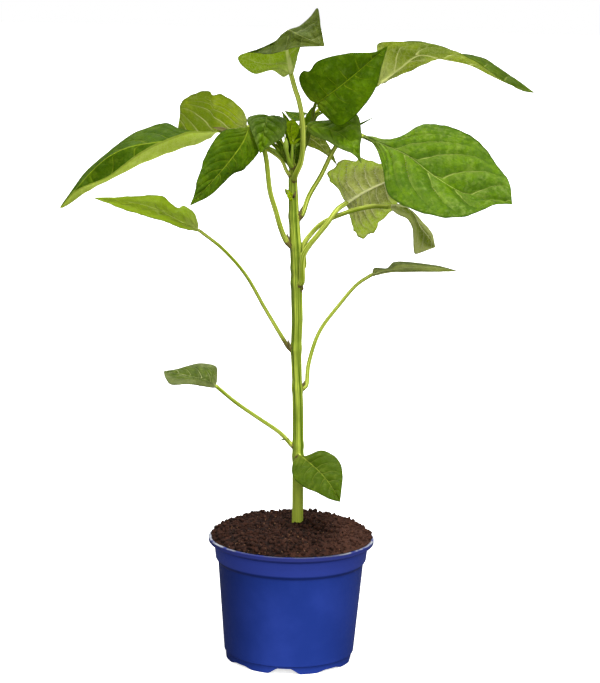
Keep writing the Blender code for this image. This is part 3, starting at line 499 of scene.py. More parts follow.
# Each leaf: the node it grows from as (height, turn round the stem in degrees), the stalk's radius at the
# foot and at the blade, and the curves that it follows, foot to tip: petiole, midrib, left and right margin
# as seen from above with the tip ahead. cup is how far each half bulges between midrib and margin.
# The rest is set for all leaves in leafShape and again for some of them: the number of side veins, how far
# they sweep toward the tip (sweepLeft is for the left half), the height of the quilting between them, of
# the wave along the margin and of its ragged bites, how far the knee of the stalk stands off the stem,
# how far the bark climbs it, and the stalk's skin. The slot is leaf_ and the tone unless it is given.
leaves = [
    dict(name="low_right_leaf", node=(167, -82), stalk=(1.5, 1.1), tone="mid", cup=(2, 2), slot="leaf_grey",
         petiole=[],
         midrib=[(5, -12, 171), (16, -20, 164), (23, -27, 159), (31, -36, 151), (38, -46, 141)],
         left=[(10, -12, 170), (23, -13, 175), (36, -17, 169), (40, -27, 159), (39, -40, 149)],
         right=[(0, -16, 165), (0, -26, 157), (8, -33, 150), (20, -40, 146.5), (31, -47, 143)]),
    dict(name="low_left_leaf", node=(176, -172), stalk=(2.0, 1.6), tone="grey", cup=(2, 2), veins=5,
         sweep=0.75, quilt=0.6,
         petiole=[(-12, -6, 188), (-27, -11, 199), (-46, -17, 213)],
         midrib=[(-62, -22, 227), (-70, -25, 232), (-85, -31, 237), (-103, -38, 241)],
         left=[(-64, -28, 227), (-72, -38, 230), (-83, -48, 233), (-96, -51, 233), (-101, -45, 237)],
         right=[(-61.5, -16, 235), (-62.5, -10, 240.5), (-67.5, -8, 242.3), (-77, -9, 243), (-87, -15, 241),
                (-95, -26, 240)]),
    dict(name="mid_right_leaf", node=(223, 10), stalk=(2.0, 1.5), tone="banded", cup=(-1, -2),
         slot="leaf_grey", quilt=0.15, wave=0.6,
         petiole=[(11, 4, 243), (19, 8, 268), (35, 14, 290), (48, 19, 305)],
         midrib=[(60, 23, 313), (71, 28, 316), (92, 36, 318), (112, 44, 317), (131, 52, 314)],
         left=[(62, 27, 318), (73, 43, 316), (79, 50, 320.5), (93, 59, 319.3), (116, 59, 317)],
         right=[(62, 14, 314), (73, 10, 318), (92, 14, 318), (114, 32, 316)]),
    dict(name="mid_left_leaf", node=(255, -176), stalk=(2.0, 1.4), tone="lime", cup=(1, -2),
         slot="leaf_pale", veins=6, quilt=0.45, ragged=0.8, wave=2.0, bark=30,
         petiole=[(-24.6, -8, 287.8), (-40.6, -14, 315.6), (-58.5, -20, 336.3)],
         midrib=[(-77, -24, 351), (-84, -27, 355), (-92, -30, 359), (-101, -33, 364), (-111, -36, 369),
                 (-126, -40, 373), (-143, -43, 375), (-158, -45, 377)],
         left=[(-80, -29, 351), (-89, -36, 353.8), (-102, -46, 359.6), (-115, -51, 363.6),
               (-129, -54, 367.8), (-143, -53, 372.3)],
         right=[(-79, -17, 357), (-82, -12, 363), (-86, -8, 367), (-91, -6, 369), (-95, -8, 367),
                (-102, -10, 371), (-108, -12, 376), (-117, -16, 377), (-125, -20, 376), (-134, -26, 377),
                (-146, -35, 377)]),
    dict(name="pale_back_leaf", node=(308, -50), stalk=(2.7, 2.1), tone="pale", cup=(2, 2), veins=8,
         sweep=0.42, quilt=1.0, ragged=3.5, wave=1.6, knee=0.3, bark=0.6,
         petiole=[(4.2, -8, 329.3), (7.9, -9, 337.9), (15.6, -10, 348.1), (22.7, -10.5, 357.4),
                  (30.1, -9, 368.1)],
         midrib=[(37, 4, 372), (51, 24, 379), (67, 44, 385), (92, 72, 392)],
         left=[(40, 7, 366), (43, 12, 357), (46, 16, 349), (51, 21, 343), (56, 25, 345), (60, 30, 347),
               (65, 37, 353), (74, 49, 362), (85, 62, 374)],
         right=[(34, 4, 378), (30, 5, 385), (24, 6, 390), (23, 9, 396), (30, 14, 402), (39, 21, 405),
                (50, 33, 405), (65, 47, 402), (80, 60, 398)]),
    dict(name="drooping_leaf", node=(320, 22), stalk=(2.5, 1.9), tone="frosty", cup=(-2, 1),
         slot="leaf_mid", veins=5, quilt=0.6, ragged=1.2, knee=0.3, bark=0.6,
         petiole=[(4.5, 2, 337.5), (10.5, 2, 347.5), (20.7, 0, 357.5), (41, -1, 366.5), (59, -2, 371)],
         midrib=[(71, -3, 371), (87, 1, 368), (96, 4, 355), (104, 7, 346), (110, 10, 338)],
         left=[(77, -12, 367), (86, -19, 363), (90, -22, 355), (91, -18, 344), (93, -12, 335),
               (103, 1, 336.5)],
         right=[(79, 8, 372.5), (90, 16, 366.5), (99.5, 22, 357.5), (107, 21, 349)]),
    dict(name="dark_left_leaf", node=(339, -165), stalk=(2.3, 2.0), tone="dark", cup=(2, 2), veins=8,
         sweep=0.45, quilt=0.35, ragged=0.6, bark=13,
         petiole=[(-13.8, -6, 352.5), (-18, -8, 366.5), (-22.9, -10, 382.5), (-26.6, -11, 409),
                  (-32, -9, 424)],
         midrib=[(-40, -9, 432), (-44, -18, 421), (-53, -29, 408), (-63, -41, 396), (-83, -62, 374)],
         left=[(-32, -6, 421), (-32, -12, 413), (-38, -20, 405), (-43, -26, 399.8), (-52, -32, 395.8),
               (-67, -50, 382)],
         right=[(-49, -15, 431), (-62, -24, 428), (-72, -36, 413), (-77, -48, 397), (-80, -56, 383)]),
    dict(name="big_right_leaf", node=(361, -8), stalk=(2.3, 2.0), tone="bright", cup=(4, 4), veins=5.5,
         sweep=0.5, sweepLeft=0.7, quilt=1.0, wave=1.8, knee=0.8, bark=9,
         petiole=[(8, 2, 378), (17, 4, 394), (28, 2, 417), (39, -5, 428)],
         midrib=[(48, -10, 427), (68, -18, 420), (85, -28, 413), (106, -38, 398), (132, -46, 385),
                 (164, -52, 380)],
         left=[(61, -6, 423), (76, -4, 425), (96, -2, 436), (116, -8, 436), (138, -20, 426),
               (153, -31, 408), (162, -41, 396)],
         right=[(58, -16, 420), (64, -32, 405), (70, -52, 384), (96, -68, 373), (124, -71, 370.8),
                (149, -62, 380)]),
    dict(name="long_left_leaf", node=(395, -150), stalk=(1.8, 1.4), tone="dark", cup=(-12, 0), quilt=0.3,
         petiole=[(-15, -3, 407), (-28, 1, 415), (-48, 4, 424)],
         midrib=[(-65, 3, 427.5), (-91, 0, 421), (-114, -4, 418), (-137, -9, 413), (-157, -14, 400.5),
                 (-187, -20, 366)],
         left=[(-76, -8, 427), (-91, -19, 426.5), (-107, -28, 420.5), (-131, -34, 406), (-154, -30, 389.5),
               (-173, -24, 381)],
         right=[(-80, 12, 426), (-96, 17, 428), (-108, 20, 431), (-122, 20, 428), (-139, 17, 419),
                (-156, 11, 406.3), (-170, 2, 391.3), (-181, -9, 376)]),
    dict(name="top_leaf", node=(392, -70), stalk=(2.3, 2.0), tone="olive", cup=(-2, -2), slot="leaf_mid",
         veins=6, quilt=0.7, bark=0.1,
         petiole=[(1, -8, 405), (2.5, -11, 420), (1.5, -13, 438), (-1.5, -14, 453), (-5, -13, 463)],
         midrib=[(-8, -12, 473), (-10, -13, 482), (-12, -14, 491), (-12.3, -19, 501), (-12, -24, 508),
                 (-1, -42, 504), (17, -58, 497)],
         left=[(-5, -9, 479), (-4, -8, 484), (-3, -8, 489), (-2, -8, 493), (0.5, -10, 501), (2, -12, 509),
               (6, -18, 516.5), (11, -26, 525), (14, -46, 511)],
         right=[(-14, -11, 471), (-23, -9, 476), (-36, -7, 473), (-45, -6, 478), (-50, -7, 485),
                (-45, -11, 489), (-36, -18, 489.5), (-28, -26, 489), (-20, -33, 490.5), (-13, -40, 493),
                (-4, -48, 495.5), (5, -54, 496)]),
    dict(name="upper_right_leaf", node=(400, 25), stalk=(1.6, 1.2), tone="shade", cup=(3, 3),
         slot="leaf_dark", quilt=0.3, skin="shade",
         petiole=[(6, 4, 423), (9, 3, 436), (10, -6, 446)],
         midrib=[(11, -14, 451), (26, -15, 462), (42, -11, 475), (67, 1, 497)],
         left=[(6, -19, 455), (0, -23, 464), (-2, -24, 472), (1, -24, 477), (6, -24, 477), (13, -21, 485),
               (36, -12, 491), (56, -3, 492)],
         right=[(17, -18, 444), (31, -26, 435), (46.8, -24, 448.3), (58, -16, 464.3), (62.5, -4, 481)]),
    dict(name="far_right_leaf", node=(404, 70), stalk=(1.7, 1.4), tone="mid", cup=(1, 0), quilt=0.6,
         wave=1.8,
         petiole=[(4, 17, 422), (12, 18, 442), (27, 17, 455), (43, 14, 461)],
         midrib=[(59, 14, 465), (76, 18, 478), (93, 22, 490), (114, 26, 487), (134, 30, 483),
                 (151, 35, 475), (169, 40, 467), (188, 46, 461)],
         left=[(69, 22, 469), (89, 34, 478), (111, 46, 486), (134, 52, 491), (159, 54, 480)],
         right=[(60, 10, 485), (59, 11, 497), (66, 8, 500), (77, 4, 500), (95, 2, 501), (116, 3, 496),
                (127, 7, 491), (146, 14, 480), (162, 22, 469.7), (176, 34, 462.8)]),
    dict(name="upper_left_leaf", node=(401, 140), stalk=(1.5, 1.2), tone="lined", cup=(0, 0),
         slot="leaf_pale", veins=5, sweep=0.78, quilt=0.5, ragged=1.5,
         petiole=[(-13, 8, 412), (-24, 12, 424)],
         midrib=[(-41, 12, 431), (-60, 22, 427.5), (-81, 38, 422.5), (-100, 60, 425.5)],
         left=[(-43, 8, 438), (-46, 6, 444), (-54, 8, 451), (-63, 11, 455), (-70, 14, 455), (-73, 17, 458),
               (-85, 26, 455), (-94, 37, 450), (-98, 46, 444), (-98, 53, 438)],
         right=[(-48, 26, 429), (-69, 44, 431.5), (-89, 58, 435)]),
    dict(name="left_crown_leaf", node=(406, 175), stalk=(1.3, 1.0), tone="crown", cup=(1, 1),
         slot="leaf_dark", veins=6, quilt=0.8, ragged=1.0,
         petiole=[(-13, 8, 416), (-19, 10, 430)],
         midrib=[(-23, 6, 438), (-26, -4, 440), (-28, -16, 429), (-31, -22, 412)],
         left=[(-14, 4, 439), (-11, -6, 435), (-13, -15, 425), (-22, -20, 419)],
         right=[(-35, 6, 440), (-42, -4, 438), (-38, -14, 428), (-34, -19, 419)]),
    dict(name="right_crown_leaf", node=(397, -25), stalk=(1.3, 1.0), tone="crown", cup=(1, 1),
         slot="leaf_dark", veins=5, quilt=0.6,
         petiole=[(2, -5, 418)],
         midrib=[(4, -9, 433), (17, -13, 433), (32, -18, 428), (42, -24, 418), (48, -28, 407)],
         left=[(8, -5, 437), (25, -3, 439), (43, -5, 444), (48, -12, 430), (47, -20, 417)],
         right=[(9, -13, 427), (20, -18, 423), (30, -24, 418), (41, -28, 414)]),
    dict(name="under_crown_leaf", node=(410, 35), stalk=(1.1, 0.8), tone="mid", cup=(0, 0),
         slot="leaf_pale", veins=4,
         petiole=[(1, 9, 419)],
         midrib=[(5, 11, 424), (15, 14, 417), (30, 18, 401)],
         left=[(5, 6, 418), (14, 7, 414), (23, 12, 408)],
         right=[(12, 15, 427), (20, 20, 421), (26, 21, 411)]),
    dict(name="back_crown_leaf", node=(412, 110), stalk=(1.1, 0.8), tone="shade", cup=(0, 0),
         slot="leaf_dark",
         petiole=[(-2, 9, 421)],
         midrib=[(0, 14, 438), (-5, 18, 440), (-13, 25, 443)],
         left=[(2, 11, 437), (-4, 11, 436), (-9, 16, 438)],
         right=[(5, 20, 442), (-1, 26, 442), (-8, 30, 442)]),
    dict(name="young_leaf", node=(410, -95), stalk=(1.0, 0.7), tone="young", cup=(-1, -1), veins=4,
         quilt=0.6,
         petiole=[(-5, -6, 416)],
         midrib=[(-6, -7, 421), (-7, -8, 430), (-6, -8, 439)],
         left=[(-10, -5, 427), (-11, -5, 435)],
         right=[(-2, -5, 426), (-1, -5, 433)]),
]
# steps and lengths are in millimetres along the curves; the root lies in the stem, rootDrop below the node
leafShape = dict(halfSteps=20, crowd=1.35, bladeStep=1.25, stalkStep=2.5, thickness=0.35, fullSize=90,
                 groove=0.22, thinRib=0.22, ribDepth=1.15, tipRing=0.15, rootDrop=2.5, rootOut=0.45,
                 rootGirth=1.1, footOut=0.3, kneeRise=1.5, knee=1.2, bark=4.0, skin="stalk", veins=6.5,
                 sweep=0.36, quilt=0.4, wave=1.4, ragged=0.4, sharp=45)
leafMarks = ("veinTurn", "ribShare", "rimShare", "alongShare", "turnShare", "runShare", "jointShare",
             "ridgeShare")


def stemCenter(height):
    return Vector((tableValue([(z, x) for x, z in stem["line"]], height), 0, height))


def stemRadius(height):
    swell = 0.0
    for leaf in leaves[:stem["swollen"]]:
        swell += ease(1.0, 0.0, abs(height - leaf["node"][0]) / stem["swellReach"])
    return tableValue(stem["girth"], height) + stem["swell"] * swell


def sectionShares():
    # places across a leaf from its left margin (-1) to its right one (1), crowded at the midrib
    steps, crowd = leafShape["halfSteps"], leafShape["crowd"]
    return [math.copysign(abs(i / steps) ** crowd, i) for i in range(-steps, steps + 1)]


def roundRing(center, side, up, radius, groove=0.0):
    # a stalk's section: its upper side from left to right, with a groove, then its under side back
    over, under = [], []
    for share in sectionShares():
        turn = math.pi / 2 * math.copysign(abs(share) ** (1 / leafShape["crowd"]), share)
        dip = 1 - groove * math.exp(-(turn / 0.5) ** 2)
        over.append(center + side * math.sin(turn) * radius + up * math.cos(turn) * radius * dip)
        under.append(center + side * math.sin(turn) * radius - up * math.cos(turn) * radius)
    return over + under[::-1]


def bladeFrame(leaf, along):
    # the midrib's and both margins' points at one place, with the way ahead and each half's upper side
    base, tip = leaf["midrib"][0], leaf["midrib"][-1]
    mid, ahead = smoothPoint(leaf["midrib"], along), wayAhead(leaf["midrib"], along, 0.02)
    left = smoothPoint([base, *leaf["left"], tip], along)
    right = smoothPoint([base, *leaf["right"], tip], along)
    leftUp = (mid - left).cross(ahead).normalized()
    rightUp = (right - mid).cross(ahead).normalized()
    return mid, ahead, left, right, leftUp, rightUp


def stalkRings(leaf):
    # from inside the stem to the blade, walked back from the blade so that the upper side keeps to its
    height, turn = leaf["node"]
    footRadius, endRadius = leaf["stalk"]
    outward = aroundAxis(turn)
    root = stemCenter(height - leaf["rootDrop"]) + outward * stemRadius(height) * leaf["rootOut"]
    foot = stemCenter(height) + outward * (stemRadius(height) + leaf["footOut"])
    knee = foot + (outward * leaf["knee"] + Vector((0, 0, leaf["kneeRise"]))) * footRadius
    path = [foot, knee, *leaf["petiole"], leaf["midrib"][0]]
    leftUp, rightUp = bladeFrame(leaf, 0.06)[4:]
    up = (leftUp + rightUp).normalized()
    length = pathLength(path)
    count = max(6, int(length / leafShape["stalkStep"]))
    rings, runs = [], []
    for step in range(count, 0, -1):
        share = step / (count + 0.4)
        ahead = wayAhead(path, share, 0.01)
        up = (up - ahead * up.dot(ahead)).normalized()
        radius = endRadius + (footRadius - endRadius) * (1 - share) ** 3
        rings.insert(0, roundRing(smoothPoint(path, share), ahead.cross(up), up, radius, leafShape["groove"]))
        runs.insert(0, share * length)
    rings.insert(0, roundRing(root, ahead.cross(up), up, footRadius * leaf["rootGirth"]))
    runs.insert(0, -2.0)
    marks = []
    for ring, run in zip(rings, runs):
        bark = ease(leaf["bark"], leaf["bark"] * 0.1, run)
        marks.append([(0.0, 0.0, 0.0, 0.0, i / len(ring), run * 0.02, bark) for i in range(len(ring))])
    return rings, marks


def bladeHeight(leaf, seed, cup, along, share, sign, veinTurn):
    # how far the blade rises at one place: the bulge of its half, the quilting and the wave of its margin
    run = along * leaf["bladeLength"]
    middle = math.sin(math.pi * along)
    rise = cup * 4 * share * (1 - share) * middle ** 0.6
    # pillows between the side veins, deepest halfway out, and uneven ones among them
    pillow = 1.2 * math.sin(math.pi * (veinTurn % 1) ** 0.8) ** 0.85 - 0.7
    pillow *= 1 + 1.1 * noise.noise(Vector((along * 9, seed * 2.3, share * 4 * sign)))
    pillow += 0.75 * noise.noise(Vector((run / 8, seed * 5.1, share * 4.5 * sign)))
    rise += leaf["quilt"] * pillow * ease(0.0, 0.2, share) * (1 - 0.7 * share) * ease(1.0, 0.85, along) * 2.1
    ripple = noise.noise(Vector((run / 17, seed * 3.7, 2.0 * sign)))
    return rise + leaf["wave"] * ripple * share ** 2.5 * middle ** 0.5


def marginBite(leaf, seed, along, share, sign):
    # how far the ragged margin comes in or out
    run = along * leaf["bladeLength"]
    bite = noise.noise(Vector((run / 5, seed * 7.9, 4.0 * sign)))
    bite += 0.7 * noise.noise(Vector((run / 14, seed * 6.1, 8.0 * sign)))
    return leaf["ragged"] * bite * share ** 4 * math.sin(math.pi * along) ** 0.5


def bladeRings(leaf, seed):
    # the stalk's round end spreads into the blade, which keeps the midrib as a ridge on its under side
    rings, marks = [], []
    rows = max(14, int(leaf["bladeLength"] / leafShape["bladeStep"]))
    thick, deep = leafShape["thickness"] / 2, leafShape["ribDepth"]
    for row in range(rows):
        along = 0.004 + 0.99 * row / (rows - 1)
        mid, ahead, left, right, leftUp, rightUp = bladeFrame(leaf, along)
        midUp = (leftUp + rightUp).normalized()
        ribRadius = max(leaf["stalk"][1] * (1 - along) ** 0.8, leafShape["thinRib"])
        grown = ease(0.0, 0.06, along)
        stalkRing = roundRing(mid, ahead.cross(midUp), midUp, ribRadius, leafShape["groove"])
        halves = {-1.0: (left, leftUp, leaf["cup"][0], leaf["sweepLeft"]),
                  1.0: (right, rightUp, leaf["cup"][1], leaf["sweep"])}
        over, under, overMarks, underMarks = [], [], [], []
        for i, place in enumerate(sectionShares()):
            share, sign = abs(place), math.copysign(1.0, place)
            edge, halfUp, cup, sweep = halves[sign]
            wide = (edge - mid).length
            up = midUp.lerp(halfUp, min(share * 4, 1.0)).normalized()
            slant = (0.72 * share + 0.28 * share ** 3) * sweep
            veinTurn = (along - slant) / (1 - slant) * leaf["veins"] + 0.25 * sign * ease(0.0, 0.05, share)
            reach = share + marginBite(leaf, seed, along, share, sign) / max(wide, 4.0)
            rise = bladeHeight(leaf, seed, cup, along, share, sign, veinTurn)
            point = mid + (edge - mid) * reach + up * rise
            fromRib = wide * share / ribRadius
            ridge = deep * math.sqrt(max(0.0, 1 - (fromRib / deep) ** 2))
            trough = 0.35 * math.exp(-(fromRib / 1.1) ** 2)
            over.append(stalkRing[i].lerp(point + up * (thick - trough * ribRadius), grown))
            under.append(stalkRing[-1 - i].lerp(point - up * (thick + ridge * ribRadius), grown))
            mark = (veinTurn, fromRib, share, along)
            overMarks.append((*mark, i / len(stalkRing), 0.0, 0.0))
            underMarks.append((*mark, 1 - i / len(stalkRing), 0.0, 0.0))
        rings.append(over + under[::-1])
        marks.append(overMarks + underMarks[::-1])
    # the tip closes on a small ring
    tip, small = leaf["midrib"][-1], leafShape["tipRing"]
    rings.append([tip + (point - tip).normalized() * small if (point - tip).length > small else point
                  for point in rings[-1]])
    marks.append(marks[-1])
    return rings, marks


def makeLeaf(leaf, seed):
    leaf = {**leafShape, **leaf}
    for key in ("petiole", "midrib", "left", "right"):
        leaf[key] = [Vector(point) for point in leaf[key]]
    leaf["bladeLength"] = pathLength(leaf["midrib"])
    leaf["sweepLeft"] = leaf.get("sweepLeft", leaf["sweep"])
    # small leaves are less uneven
    for key in ("quilt", "wave", "ragged"):
        leaf[key] *= min(1.0, leaf["bladeLength"] / leafShape["fullSize"])
    rings, marks = stalkRings(leaf)
    stalkRows = len(rings) + 1
    for whole, part in zip((rings, marks), bladeRings(leaf, seed)):
        whole.extend(part)
    half = len(rings[0]) / 2

    def slotAt(column, row):
        # the stalk's skin, then the blade's upper side and its under side
        return 2 if row < stalkRows else (0 if column < half else 1)

    tone = leaf["tone"]
    materials = [leafMaterials[tone, "upper"], leafMaterials[tone, "under"], stalkSkins[leaf["skin"]]]
    finishPiece(skinName(leaf["name"]), tubeMesh(rings, marks, leafMarks, slotAt), materials,
                leaf.get("slot", "leaf_" + tone), leaf["sharp"], [leaf["name"]])


for order, leaf in enumerate(leaves):
    makeLeaf(leaf, order)
print("leaves ready:", len(leaves))


def makeStem():
    rings, marks = [], []
    low, high = stem["line"][0][1], stem["line"][-1][1]
    rows = int((high - low) / stem["ringStep"])
    joints = [(*leaf["node"], stem["leafBark"]) for leaf in leaves[:stem["swollen"]]]
    joints += [(*node, stem["budBark"]) for node in [bud["node"] for bud in buds] + [stem["topNode"]]]
    for row in range(rows + 1):
        z = low + (high - low) * row / rows
        center, radius = stemCenter(z), stemRadius(z)
        ring, mark = [], []
        for i in range(stem["around"]):
            turn = 2 * math.pi * i / stem["around"]
            ridge = math.cos(stem["ridges"] * (turn + z * 0.002))
            outward = Vector((math.cos(turn), math.sin(turn), 0))
            ring.append(center + outward * radius * (1 + stem["ridgeDepth"] * ridge))
            # brown where a leaf or a bud leaves the stem
            bark = 0.0
            for height, side, reach in joints:
                off = abs((math.degrees(turn) - side + 180) % 360 - 180) / 60
                bark = max(bark, ease(1.0, 0.2, math.hypot((z - height) / reach, off)))
            mark.append((i / stem["around"], z * 0.012, bark, ridge))
        rings.append(ring)
        marks.append(mark)
    bm = tubeMesh(rings, marks, leafMarks[4:])
    finishPiece("StemSkin", bm, [stalkSkins["stem"]], "stem", replaces=["stem"])


# ---- buds and the shoots of the growing tip ----

# a bud is a few pointed scales: its node, length, girth and how far it leans out for each unit that it rises
buds = [
    dict(name="axil_bud_low", node=(225.5, 4), length=4.0, radius=1.3, lean=0.35),
    dict(name="axil_bud_left", node=(341.5, 186), length=7.0, radius=1.6, lean=0.25),
    dict(name="axil_bud_right", node=(363.5, -12), length=6.5, radius=1.9, lean=0.25),
    dict(name="axil_bud_front", node=(303, -12), length=3.0, radius=0.9, lean=0.1),
    dict(name="bract_left", node=(379.5, 215), length=6.0, radius=2.1, lean=0.9, young=True),
    dict(name="axil_bud_mid_left", node=(256, 188), length=7.0, radius=1.6, lean=0.25),
]
# how far each scale spreads aside and its share of the length, and a scale's widths from foot to tip
budShape = dict(scales=[(0.0, 1.0), (-0.4, 0.75), (0.4, 0.7)], widths=(0.9, 1.0, 0.95, 0.6, 0.1), flat=0.8,
                fold=0.1, bark=0.4)
# a shoot is a narrow folded leaf or a stalk: its path, half widths from foot to tip, how flat it is and how
# deeply folded; one with a tone has a leaf's two sides
shoots = [
    dict(name="flower_bud", path=[(-5, -4, 400), (-8, -9, 405), (-10, -12, 412), (-11, -13, 418),
         (-11, -13, 424)], widths=(1.9, 2.0, 1.6, 1.2, 1.3, 2.1, 1.9, 0.5), flat=0.9, fold=0.0,
         skin="shoot", slot="flower_bud"),
    dict(name="budTip", path=[(-8, -9, 408), (-10, -11, 415), (-11.5, -12, 422), (-12.5, -12, 426.5)],
         widths=(0.6, 0.7, 1.0, 0.8, 0.2), flat=0.6, fold=0.2, skin="shoot"),
    dict(name="paleStalk", path=[(-4, -4, 400), (-6, -8, 404), (-6, -10, 411), (-6, -10, 419)],
         widths=(0.9, 1.0, 1.1, 1.0, 0.8), flat=0.8, fold=0.1, skin="shoot"),
    dict(name="brownStalk", path=[(-6, -3, 400), (-10, -8, 407), (-14, -10, 414), (-18, -9, 421)],
         widths=(1.3, 1.1, 0.8, 0.7, 0.6), flat=0.9, fold=0.0, skin="shade"),
    dict(name="pleatOuter", path=[(-7, -4, 400), (-12, -7, 407), (-17, -8, 412), (-23, -8, 415.5),
         (-29, -7, 418)], widths=(1.0, 1.2, 1.3, 1.1, 0.7), flat=0.45, fold=0.5, skin="shoot"),
    dict(name="pleatMiddle", path=[(-7, -4, 401), (-12, -8, 408), (-16, -9, 414), (-21, -8, 418.5),
         (-26, -6, 421)], widths=(0.8, 1.4, 1.9, 1.6, 0.6), flat=0.4, fold=0.7, tone="mid"),
    dict(name="pleatInner", path=[(-7, -4, 402), (-11, -8, 409), (-14, -10, 416), (-17, -9, 421),
         (-20, -7, 425)], widths=(0.7, 1.3, 1.7, 1.4, 0.5), flat=0.4, fold=0.7, tone="dark"),
    dict(name="narrowLeaf", path=[(-5, -7, 412), (-6, -8, 418), (-8, -9, 424), (-11, -9, 432)],
         widths=(0.7, 1.0, 1.3, 0.9, 0.2), flat=0.3, fold=0.6, tone="young"),
    dict(name="leafletRight", path=[(-4, -6, 411), (-5, -9, 418), (-3, -10, 421.5), (1, -9, 424.5)],
         widths=(0.5, 0.8, 1.3, 1.1, 0.3), flat=0.3, fold=0.5, tone="young"),
    dict(name="leafletLow", path=[(-4, -5, 408), (-4, -8, 414), (-3, -10, 418), (1, -9, 420.5)],
         widths=(0.5, 0.8, 1.2, 1.0, 0.3), flat=0.3, fold=0.5, tone="bright"),
    dict(name="foldedLeaf", path=[(-4, 0, 399), (-1, -3, 405), (0, -4, 413), (0, -3, 421), (0, 0, 431)],
         widths=(1.2, 2.4, 3.0, 3.0, 2.4, 1.0), flat=0.25, fold=0.5, tone="dark"),
    dict(name="darkBack", path=[(-3, 2, 400), (-4, 3, 408), (-5, 3, 418), (-5, 5, 428), (-5, 8, 437)],
         widths=(1.5, 3.6, 5.4, 5.6, 3.2, 1.0), flat=0.12, fold=0.25, tone="dark"),
    dict(name="crownBack", path=[(-1, 5, 404), (2, 10, 418), (5, 13, 430), (8, 14, 441), (9, 15, 447)],
         widths=(0.9, 1.2, 4.0, 4.6, 3.6, 0.6), flat=0.15, fold=0.3, tone="dark"),
    dict(name="foldedRight", path=[(-3, -2, 399), (0, -5, 405), (2, -5, 412), (2, -4, 419)],
         widths=(1.0, 1.3, 1.4, 1.0, 0.3), flat=0.4, fold=0.5, tone="mid"),
    dict(name="hookStalk", path=[(-2, 2, 402), (3, 5, 415), (7, 8, 427), (9.5, 9, 437), (11, 8, 446),
         (12.5, 6, 448.5), (14.5, 5, 446.5)], widths=(0.9, 0.9, 0.9, 0.8, 0.8, 0.7, 0.4), flat=1.0,
         fold=0.0, skin="shoot"),
    dict(name="hookLeaf", path=[(7, 8, 428), (10, 9, 437), (13, 9, 441.5), (19, 9, 443.5)],
         widths=(0.5, 1.6, 2.1, 1.7, 0.3), flat=0.3, fold=0.6, tone="mid"),
    dict(name="spareLeaf", path=[(-6, 3, 404), (-7, 4, 414), (-8.5, 5, 425), (-11, 6, 436), (-15, 7, 444)],
         widths=(1.5, 3.0, 3.4, 2.6, 0.2), flat=0.12, fold=0.2, tone="shade", slot="leaf_dark"),
    dict(name="driedBit", path=[(-55, 2, 427), (-60, 1, 428.5), (-65, 1, 429.5), (-69, 1, 430)],
         widths=(0.5, 1.5, 1.9, 1.0, 0.3), flat=0.4, fold=0.4, skin="bud", slot="axil_bud"),
    dict(name="bractHorn", path=[(-4, -2.5, 374.5), (-6.3, -4.2, 377), (-8, -4.6, 380), (-9, -4.4, 383)],
         widths=(1.0, 2.4, 2.6, 1.5, 0.2), flat=0.5, fold=0.5, tone="young"),
    dict(name="bractTip", path=[(-4.8, -4, 376.5), (-3.4, -5, 379), (-2.3, -5.2, 382)],
         widths=(0.8, 1.3, 0.9, 0.2), flat=0.6, fold=0.2, skin="bud", slot="axil_bud"),
    dict(name="thorn", path=[(-4, -2.5, 181.5), (-7, -4, 181.5), (-12.3, -6, 180.5)],
         widths=(0.9, 0.8, 0.6, 0.15), flat=0.7, fold=0.0, skin="shade"),
    dict(name="edgeLeaf", path=[(-2, 3, 404), (4, 9, 420), (12, 9, 430), (24, 8, 431), (36, 10, 430),
         (48, 12, 435), (58.5, 15, 440.5)], widths=(0.8, 0.8, 0.8, 0.9, 1.2, 1.0, 0.2), flat=0.45, fold=0.3,
         tone="dark"),
]
shootShape = dict(around=20, step=0.7, face=(0, -1, 0.35))


def shootRings(shoot):
    # rings of a flattened, folded section along the path, and their marks
    path = [Vector(point) for point in shoot["path"]]
    length = pathLength(path)
    count, around = max(10, int(length / shootShape["step"])), shootShape["around"]
    widths = [(i / (len(shoot["widths"]) - 1), width) for i, width in enumerate(shoot["widths"])]
    face = Vector(shoot.get("face", shootShape["face"]))
    rings, marks = [], []
    for row in range(count + 1):
        share = row / count
        center = smoothPoint(path, share)
        ahead = wayAhead(path, share, 0.02)
        side = ahead.cross(face).normalized()
        up = side.cross(ahead)
        width = tableValue(widths, share)
        ring, mark = [], []
        for i in range(around):
            turn = 2 * math.pi * (i + 0.5) / around
            across = -math.cos(turn)
            lift = math.sin(turn) * shoot["flat"] + shoot["fold"] * (abs(across) ** 1.3 - 0.5)
            ring.append(center + (side * across + up * lift) * width)
            mark.append((share * 6 + 0.25 * across, abs(across) * 2.5, abs(across), share, i / around,
                         length * share * 0.02, ease(4.0, 0.5, length * share), math.cos(2 * turn)))
        rings.append(ring)
        marks.append(mark)
    return rings, marks


def makeShoot(shoot):
    half = shootShape["around"] / 2
    if "tone" in shoot:
        materials = [leafMaterials[shoot["tone"], side] for side in ("upper", "under")]
        bm = tubeMesh(*shootRings(shoot), leafMarks, lambda column, row: 0 if column < half else 1)
    else:
        materials = [stalkSkins[shoot["skin"]]]
        bm = tubeMesh(*shootRings(shoot), leafMarks)
    name = shoot["name"]
    replaced = [name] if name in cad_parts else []
    slot = shoot.get("slot", "leaf_" + shoot.get("tone", "young"))
    pieceName = skinName(name) if replaced else name[0].upper() + name[1:]
    finishPiece(pieceName, bm, materials, slot, leafShape["sharp"], replaced)


